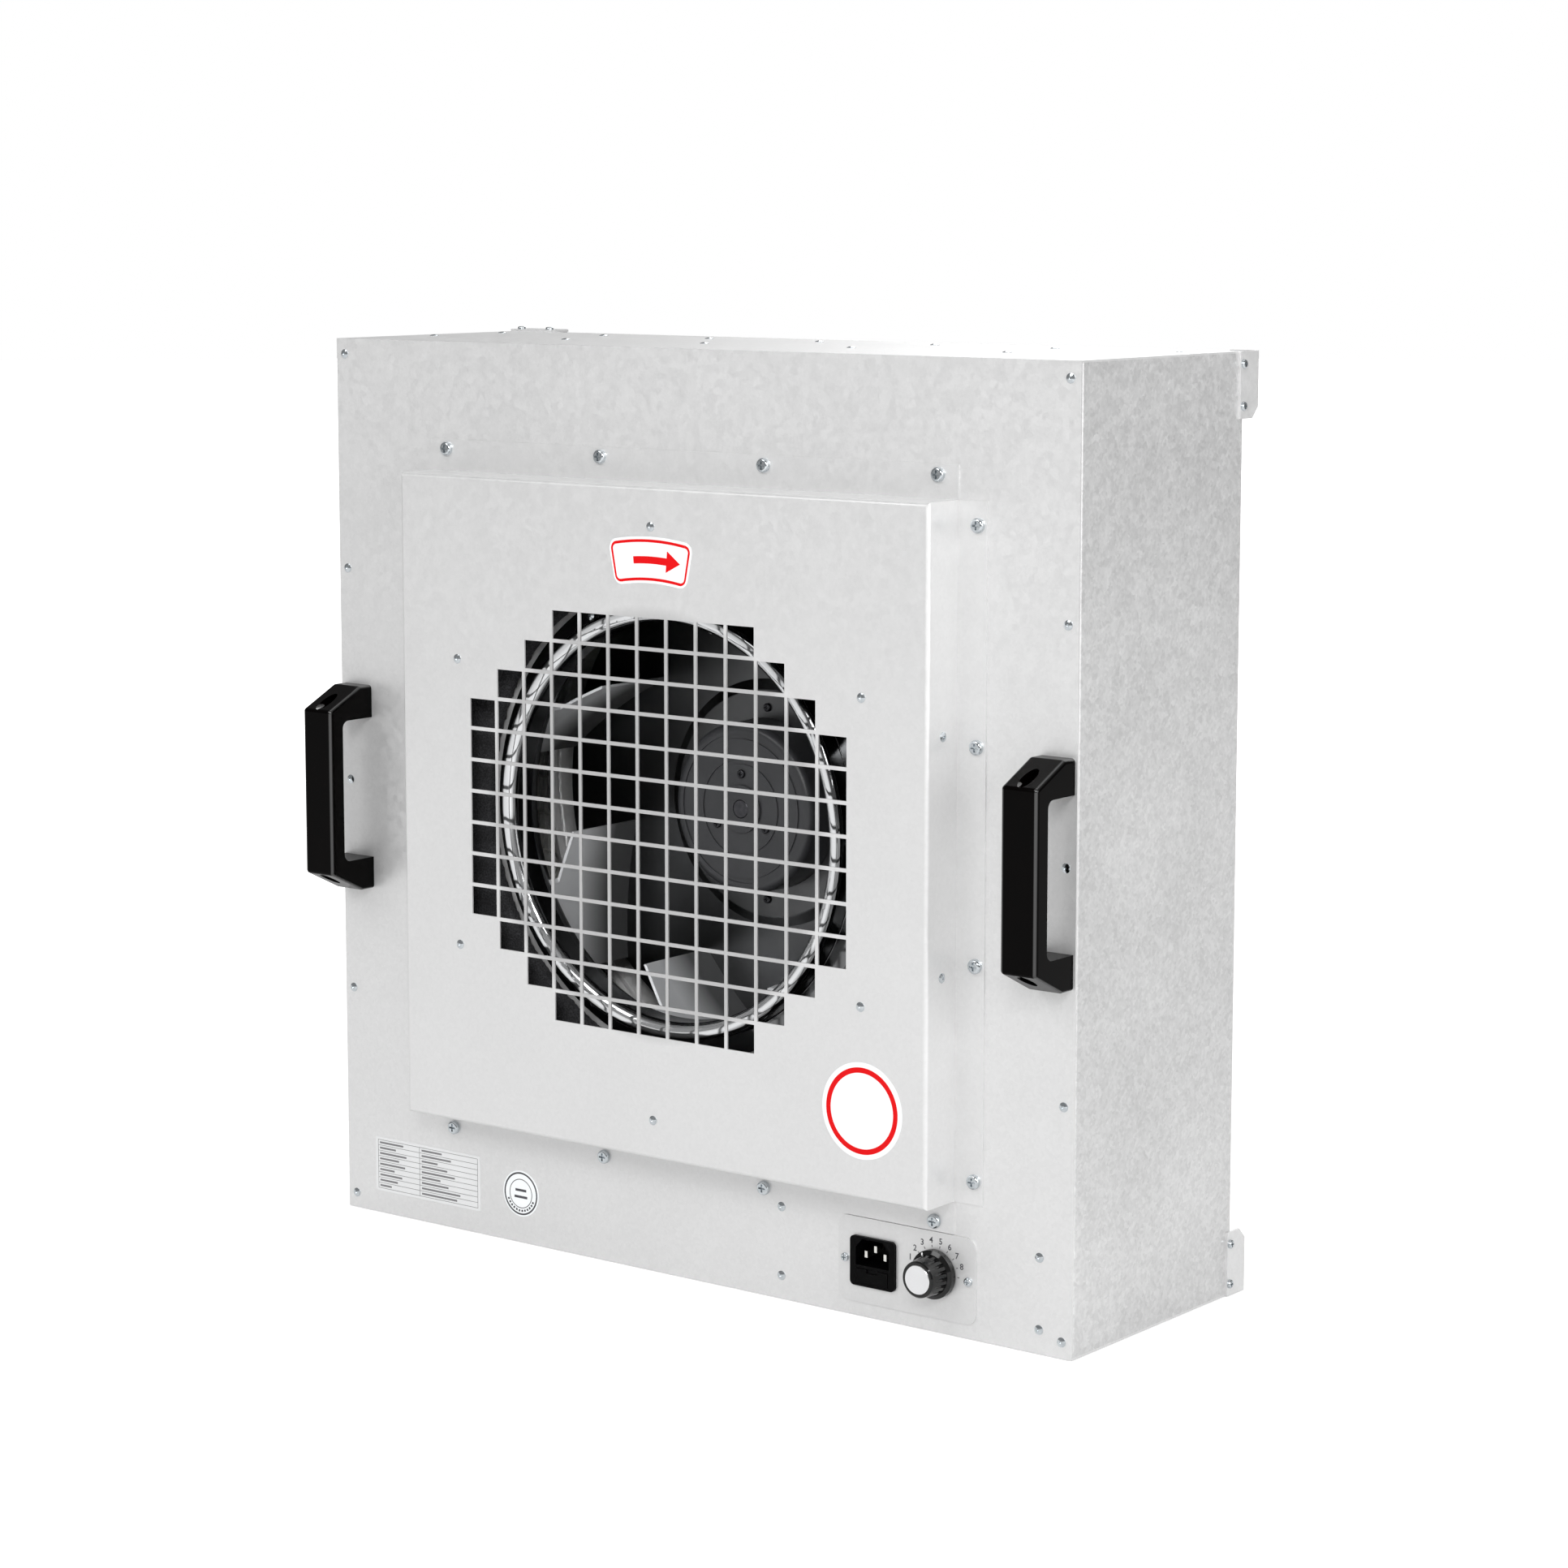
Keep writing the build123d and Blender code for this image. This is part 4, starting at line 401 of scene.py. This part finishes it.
def film(name, dark, light, low=0.35, high=0.5):
    """Printed or plain self-adhesive film."""
    base = Finish(name, light, low)
    base.set("Specular IOR Level", 0.15)
    base.tint(base.noise(55.0, 4.0), dark, light)
    base.rough(base.noise(90.0, 2.0), low, high)
    return base.bump(base.noise(1200.0, 2.0), 0.000008, 0.4).material


def fibre_paper(name):
    """Glass-fibre filter paper."""
    base = Finish(name, (0.9, 0.9, 0.88), 0.9)
    fibres = base.noise(800.0, 5.0, 0.7, base.stretched((1.0, 1.0, 0.25)))
    base.tint(fibres, (0.80, 0.80, 0.77), (0.95, 0.95, 0.93))
    return base.bump(fibres, 0.00008).material


def closed_rubber(name):
    """Closed-cell black rubber."""
    base = Finish(name, (0.03, 0.03, 0.03), 0.7)
    grain = base.noise(1000.0, 3.0)
    base.tint(grain, (0.02, 0.02, 0.021), (0.06, 0.06, 0.062))
    return base.bump(grain, 0.00005).material


def wound_copper(name):
    """Enamelled wire wound in rings."""
    base = Finish(name, (0.7, 0.35, 0.16), 0.3, 0.9)
    radius = base.radius(FAN)
    wave = base.tree.nodes.new("ShaderNodeMath")
    wave.operation = "SINE"
    base.join(base.sum(radius, 7000.0, "MULTIPLY"), wave.inputs[0])
    turns = base.remap(wave.outputs[0], 0.0, 1.0, -1.0, 1.0)
    base.tint(turns, (0.30, 0.12, 0.05), (0.80, 0.42, 0.20))
    return base.bump(turns, 0.0002).material


def fuse_glass(name):
    """Clear glass of a fuse, slightly smeared."""
    base = Finish(name, (0.9, 0.95, 0.95), 0.05)
    base.set("Alpha", 0.5)
    smear = base.noise(300.0, 2.0)
    base.tint(smear, (0.80, 0.86, 0.86), (0.92, 0.96, 0.96))
    return base.material


SLOT_FINISHES = {
    "sheet_metal": coated_sheet("coated_sheet"),
    "black_foam": open_foam("open_foam"),
    "bright_aluminium": turned_metal(
        "spun_aluminium", (0.66, 0.67, 0.68), (0.88, 0.89, 0.90), FAN, 0.07, 0.18,
        lit_band=RING_LIT_CREST,
    ),
    # painted shade: the impeller's sheet is given a dark colour for the shade inside the fan
    "impeller_metal": rolled_metal(
        "impeller_sheet_painted_shade", (0.09, 0.092, 0.095), (0.19, 0.192, 0.195), 0.24, 0.40
    ),
    "motor_black": enamel("motor_enamel", (0.030, 0.031, 0.034), (0.055, 0.056, 0.06), 0.30, 0.42),
    "core_steel": turned_metal(
        "machined_steel", (0.36, 0.37, 0.38), (0.55, 0.56, 0.57), FAN, 0.25, 0.42, 4000.0
    ),
    "copper": wound_copper("wound_copper"),
    "bearing_steel": turned_metal(
        "bearing_steel", (0.62, 0.63, 0.65), (0.80, 0.81, 0.82), FAN, 0.08, 0.18, 5000.0
    ),
    "zinc_screws": plated("bright_zinc", (0.42, 0.46, 0.49), (0.72, 0.75, 0.77), 0.08, 0.20),
    "black_screws": plated("black_oxide", (0.02, 0.02, 0.022), (0.07, 0.07, 0.075), 0.3, 0.45),
    "gloss_black": moulded(
        "glossy_nylon", (0.0002, 0.0002, 0.0002), (0.0012, 0.0007, 0.0006), 0.03, 0.08,
        grain=500.0, depth=0.00002, gloss=0.05, edges=1.0,
    ),
    "black_plastic": moulded(
        "matt_plastic", (0.0005, 0.0005, 0.0006), (0.002, 0.002, 0.0022), 0.25, 0.38, gloss=0.06
    ),
    "pin_metal": plated("nickel_plate", (0.74, 0.73, 0.69), (0.90, 0.89, 0.85), 0.10, 0.22),
    "silver_cap": turned_metal(
        "turned_cap", (0.80, 0.81, 0.82), (0.95, 0.95, 0.96), KNOB, 0.16, 0.30, 6000.0
    ),
    "fuse_glass": fuse_glass("fuse_glass"),
    "component_blue": moulded("component_blue", (0.04, 0.10, 0.24), (0.06, 0.14, 0.32), 0.3, 0.42),
    "capacitor_white": moulded("capacitor_can", (0.74, 0.74, 0.71), (0.86, 0.86, 0.84), 0.3, 0.4),
    "board_green": moulded("solder_mask", (0.02, 0.14, 0.06), (0.04, 0.24, 0.11), 0.25, 0.35),
    "filter_aluminium": rolled_metal(
        "anodised_extrusion", (0.66, 0.67, 0.68), (0.80, 0.81, 0.82), 0.28, 0.42, (12.0, 1.0, 1.0)
    ),
    "guard_white": enamel("white_powder_coat", (0.80, 0.80, 0.79), (0.88, 0.88, 0.87), 0.4, 0.55),
    "filter_paper": fibre_paper("fibre_paper"),
    "gasket_rubber": closed_rubber("closed_rubber"),
    "label_white": film("label_film", (0.84, 0.86, 0.87), (0.90, 0.92, 0.93)),
    "print_red": film("red_print", (0.66, 0.0, 0.002), (0.72, 0.002, 0.004), 0.4, 0.5),
}


# painted shade: the side panels are a darker copy of the coated sheet; their stronger mottle is
# the sheet's own
SHADED_SIDE_SHEET = coated_sheet("side_sheet_painted_shade", 0.87, 0.20)
NODE_FINISHES = {
    # the cover's grille bars get painted shade
    "inlet_cover": coated_sheet("cover_sheet", mottle=0.04, grille_shade=True),
    "control_plate": coated_sheet("plate_sheet", 0.95, 0.04),
    "speed_knob": moulded(
        "knob_plastic", (0.001, 0.001, 0.001), (0.004, 0.004, 0.004), 0.06, 0.14, gloss=0.45
    ),
    # painted shade: the impeller's screws and the shaft's end get dark colours for the shade
    # inside the fan
    "impeller_screws": plated("impeller_screws_painted_shade", (0.03, 0.03, 0.032), (0.10, 0.10, 0.11), 0.25, 0.4),
    "motor_shaft": plated("shaft_end_painted_shade", (0.05, 0.05, 0.055), (0.12, 0.12, 0.13), 0.25, 0.4),
    "side_panel_left": SHADED_SIDE_SHEET,
    "side_panel_right": SHADED_SIDE_SHEET,
    "impeller_blades": satin_blades(),
    "rating_label": film("rating_film", (0.68, 0.685, 0.69), (0.74, 0.745, 0.75)),
}


def dress_nodes():
    """Gives every CAD node its slot's finish, or its own where it differs."""
    slots = {part["node"]: part["material_slot"] for part in frame["record"]["subparts"]}
    for name, piece in nodes.items():
        finish = NODE_FINISHES.get(name, SLOT_FINISHES[slots[name]])
        piece.data.materials.clear()
        piece.data.materials.append(finish)


# ---------------------------------------------------------------- building pieces
def place_piece(name, mesh, finish, body):
    """Puts a mesh on a body under a name and a finish."""
    mesh.materials.clear()
    mesh.materials.append(finish)
    piece = bpy.data.objects.new(name, mesh)
    bpy.context.scene.collection.objects.link(piece)
    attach(piece, body)
    return piece


def add_piece(name, shape, finish, body):
    """Turns a bmesh into an object on a body."""
    mesh = bpy.data.meshes.new(name)
    bmesh.ops.recalc_face_normals(shape, faces=shape.faces)
    shape.to_mesh(mesh)
    shape.free()
    return place_piece(name, mesh, finish, body)


def close_prism(shape, front, back):
    """The faces of a closed prism between two matching loops."""
    shape.faces.new(front)
    shape.faces.new(back)
    count = len(front)
    for i in range(count):
        j = (i + 1) % count
        shape.faces.new((front[i], front[j], back[j], back[i]))


def add_slab(shape, corners, y0, y1):
    """A flat prism between two depths, from its (x, z) corners."""
    front = [shape.verts.new((x, y0, z)) for x, z in corners]
    back = [shape.verts.new((x, y1, z)) for x, z in corners]
    close_prism(shape, front, back)


def add_bar(shape, x0, x1, z0, z1, y0, y1):
    """A flat rectangular bar between two depths."""
    add_slab(shape, [(x0, z0), (x1, z0), (x1, z1), (x0, z1)], y0, y1)


def add_ring(shape, x, z, outer, inner, y0, y1, first=0.0, last=360.0, segments=96):
    """A flat ring or part of one, as a closed prism."""
    whole = last - first >= 359.99
    count = segments if whole else max(4, int(segments * (last - first) / 360.0))
    rows = []
    for i in range(count if whole else count + 1):
        angle = math.radians(first + (last - first) * i / count)
        c, s = math.cos(angle), math.sin(angle)
        rows.append(
            [
                shape.verts.new((x + r * c, y, z + r * s))
                for r, y in ((inner, y0), (outer, y0), (outer, y1), (inner, y1))
            ]
        )
    pairs = zip(rows, rows[1:] + rows[:1]) if whole else zip(rows, rows[1:])
    for one, two in pairs:
        for i in range(4):
            j = (i + 1) % 4
            shape.faces.new((one[i], one[j], two[j], two[i]))
    if not whole:
        shape.faces.new(rows[0])
        shape.faces.new(rows[-1])


# ---------------------------------------------------------------- prints
def rating_print(ink):
    """Ruled table with short grey fields and no lettering."""
    low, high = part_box("rating_label")
    y1 = low.y
    y0 = y1 - PRINT
    side_margin, end_margin = 2.2 * MM, 2.0 * MM
    x0, x1 = low.x + side_margin, high.x - side_margin
    z0, z1 = low.z + end_margin, high.z - end_margin
    names = (0.62, 0.42, 0.70, 0.50, 0.66, 0.38, 0.58, 0.46, 0.30)  # shares of each column
    values = (0.38, 0.55, 0.30, 0.48, 0.62, 0.35, 0.50, 0.72, 0.66)
    rows = len(names)
    step = (z1 - z0) / rows
    split = x0 + (x1 - x0) * 0.42
    line = 0.28 * MM
    shape = bmesh.new()
    for i in range(rows + 1):
        z = z0 + step * i
        add_bar(shape, x0, x1, z - line / 2, z + line / 2, y0, y1)
    for x in (x0, split, x1):
        add_bar(shape, x - line / 2, x + line / 2, z0, z1, y0 - PRINT * 0.2, y1)
    half = step * 0.17
    columns = (
        (x0 + 1.4 * MM, split - x0 - 3 * MM, names),
        (split + 1.8 * MM, x1 - split - 4 * MM, values),
    )
    for i in range(rows):
        z = z1 - step * (i + 0.5)
        for left, room, shares in columns:
            add_bar(shape, left, left + room * shares[i], z - half, z + half, y0, y1)
    add_piece("rating_print", shape, ink, "root")


def sticker_print(ink):
    """Two dark rings and a pair of short bars on the inspection sticker."""
    low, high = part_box("qc_sticker")
    x, z = (low.x + high.x) / 2, (low.z + high.z) / 2
    y1 = low.y
    y0 = y1 - PRINT
    shape = bmesh.new()
    for outer, inner in ((14.0, 12.9), (9.6, 9.1)):
        add_ring(shape, x, z, outer * MM, inner * MM, y0, y1)
    bar = 0.8  # half its height
    for dz, half in ((2.2, 4.6), (-2.2, 5.4)):
        z0, z1 = z + (dz - bar) * MM, z + (dz + bar) * MM
        add_bar(shape, x - half * MM, x + half * MM, z0, z1, y0, y1)
    dashes, pitch, dash = 12, 12.0, 7.0  # degrees
    for i in range(dashes):
        first = 200.0 + i * pitch
        add_ring(shape, x, z, 11.9 * MM, 10.5 * MM, y0, y1, first, first + dash)
    add_piece("sticker_print", shape, ink, "root")


def spoke(degrees, inner, outer, half):
    """Corners (x, z) of a bar that points away from the knob's axis."""
    angle = math.radians(degrees)
    out = Vector((math.cos(angle), 0.0, math.sin(angle)))
    side = Vector((-out.z, 0.0, out.x))
    corners = []
    for reach, shift in ((inner, -half), (outer, -half), (outer, half), (inner, half)):
        point = KNOB + out * reach + side * shift
        corners.append((point.x, point.z))
    return corners


def dial_print(ink):
    """Plain numbers and ticks round the upper part of the speed knob."""
    y1 = PLATE_Y
    y0 = y1 - PRINT
    shape = bmesh.new()
    for i in range(10):
        corners = spoke(DIAL_START - DIAL_STEP * i, 15.6 * MM, 17.0 * MM, 0.225 * MM)
        add_slab(shape, corners, y0, y1)
    add_piece("dial_ticks", shape, ink, "root")
    reach = 19.8 * MM
    for i in range(1, 9):
        angle = math.radians(DIAL_START - DIAL_STEP * i)
        text = bpy.data.curves.new(f"dial_number_{i}", "FONT")
        text.body = str(i)
        text.size = 5.2 * MM
        text.align_x = "CENTER"
        text.align_y = "CENTER"
        text.extrude = PRINT / 2
        text.offset = 0.00008
        text.resolution_u = 3
        holder = bpy.data.objects.new(f"dial_text_{i}", text)
        bpy.context.scene.collection.objects.link(holder)
        holder.location = (
            KNOB.x + reach * math.cos(angle),
            y1 - PRINT / 2,
            KNOB.z + reach * math.sin(angle),
        )
        holder.rotation_euler = (math.pi / 2, 0.0, 0.0)
        bpy.context.view_layer.update()
        mesh = bpy.data.meshes.new_from_object(holder)
        mesh.transform(holder.matrix_world)
        bpy.data.objects.remove(holder)
        place_piece(f"dial_number_{i}", mesh, ink, "root")


def knob_line(paint):
    """White pointer mark on the sloping front of the knob's skirt."""
    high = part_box("speed_knob")[1]
    skirt_front = high.y - 5.0 * MM
    slope = 0.75 * MM
    proud, thick = 0.1 * MM, 0.3 * MM
    corners = spoke(POINTER, 12.7 * MM, 14.1 * MM, 0.5 * MM)
    shape = bmesh.new()
    front = [
        shape.verts.new((x, skirt_front + drop - proud, z))
        for (x, z), drop in zip(corners, (0.0, slope, slope, 0.0))
    ]
    back = [shape.verts.new((v.co.x, v.co.y + thick, v.co.z)) for v in front]
    close_prism(shape, front, back)
    add_piece("knob_pointer", shape, paint, "knob")


# ---------------------------------------------------------------- foam
def grown_foam(name, source, voxel, finish):
    """A foam lining with rounded edges and an uneven skin, in place of its plain solid."""
    mesh = nodes[source].data.copy()
    piece = bpy.data.objects.new(name, mesh)
    bpy.context.scene.collection.objects.link(piece)
    remesh = piece.modifiers.new("remesh", "REMESH")
    remesh.mode = "VOXEL"
    remesh.voxel_size = voxel
    smooth = piece.modifiers.new("smooth", "SMOOTH")
    smooth.factor, smooth.iterations = 0.5, 2
    clouds = bpy.data.textures.new(name, "CLOUDS")
    clouds.noise_scale = 0.012
    displace = piece.modifiers.new("displace", "DISPLACE")
    displace.texture, displace.strength, displace.mid_level = clouds, 0.0007, 0.75
    displace.texture_coords = "GLOBAL"
    bpy.context.view_layer.update()
    graph = bpy.context.evaluated_depsgraph_get()
    final = bpy.data.meshes.new_from_object(piece.evaluated_get(graph))
    piece.modifiers.clear()
    piece.data = final
    final.polygons.foreach_set("use_smooth", [True] * len(final.polygons))
    final.materials.clear()
    final.materials.append(finish)
    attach(piece, "root")
    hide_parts(source)


# ---------------------------------------------------------------- filter
def pleated_pack(paper, bead):
    """Fine pleats from wall to wall of the filter's frame, with glue beads that space them."""
    low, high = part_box("filter_media")
    pleats = 150
    step = (high.x - low.x) / (2 * pleats)
    thick = 0.4 * MM
    fold = 0.12 * step  # half of a fold's flat
    shape = bmesh.new()
    rows = []
    for i in range(2 * pleats + 1):
        x = low.x + step * i
        front = low.y if i % 2 == 0 else high.y - thick
        for shift in (-fold, fold):
            at = min(max(x + shift, low.x), high.x)
            rows.append((at, front))
    faces = []
    for depth in (0.0, thick):
        faces.append(
            [[shape.verts.new((x, y + depth, z)) for z in (low.z, high.z)] for x, y in rows]
        )
    for side in faces:
        for one, two in zip(side, side[1:]):
            shape.faces.new((one[0], two[0], two[1], one[1]))
    front, back = faces
    for end in (0, 1):
        for i in range(len(rows) - 1):
            shape.faces.new((front[i][end], front[i + 1][end], back[i + 1][end], back[i][end]))
    for i in (0, -1):
        shape.faces.new((front[i][0], front[i][1], back[i][1], back[i][0]))
    pack = add_piece("pleated_pack", shape, paper, "root")
    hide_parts("filter_media")
    beads = bmesh.new()
    spacing = 25.0 * MM
    half = 0.7 * MM
    skin, deep = 0.1 * MM, 1.6 * MM  # how far in a bead starts and ends
    sides = ((high.y - deep, high.y - skin), (low.y + skin, low.y + deep))
    for i in range(int((high.z - low.z) / spacing)):
        z = low.z + spacing * (i + 0.7)
        for y0, y1 in sides:
            add_bar(beads, low.x + step, high.x - step, z - half, z + half, y0, y1)
    add_piece("pleat_beads", beads, bead, "root")


# ---------------------------------------------------------------- scene
dress_nodes()
dark_ink = film("dark_ink", (0.05, 0.05, 0.055), (0.10, 0.10, 0.11), 0.4, 0.5)
grey_ink = film("grey_ink", (0.16, 0.16, 0.165), (0.24, 0.24, 0.245), 0.4, 0.5)
white_paint = film("white_paint", (0.86, 0.86, 0.86), (0.94, 0.94, 0.94), 0.35, 0.45)
glue = moulded("hot_glue", (0.80, 0.79, 0.74), (0.90, 0.89, 0.85), 0.35, 0.5)

rating_print(grey_ink)
sticker_print(dark_ink)
dial_print(dark_ink)
knob_line(white_paint)
# the black foam lining round the inlet also stands in for the shade in the plenum behind it,
# painted shade
grown_foam("deck_foam_and_shade", "inlet_foam", 3.0 * MM, SLOT_FINISHES["black_foam"])
grown_foam("wall_foam", "side_foam", 4.0 * MM, SLOT_FINISHES["black_foam"])
pleated_pack(SLOT_FINISHES["filter_paper"], glue)

add_camera()
add_world()
add_floor()
for lamp in LAMPS:
    add_area(*lamp)

bpy.context.scene.view_settings.view_transform = "Standard"
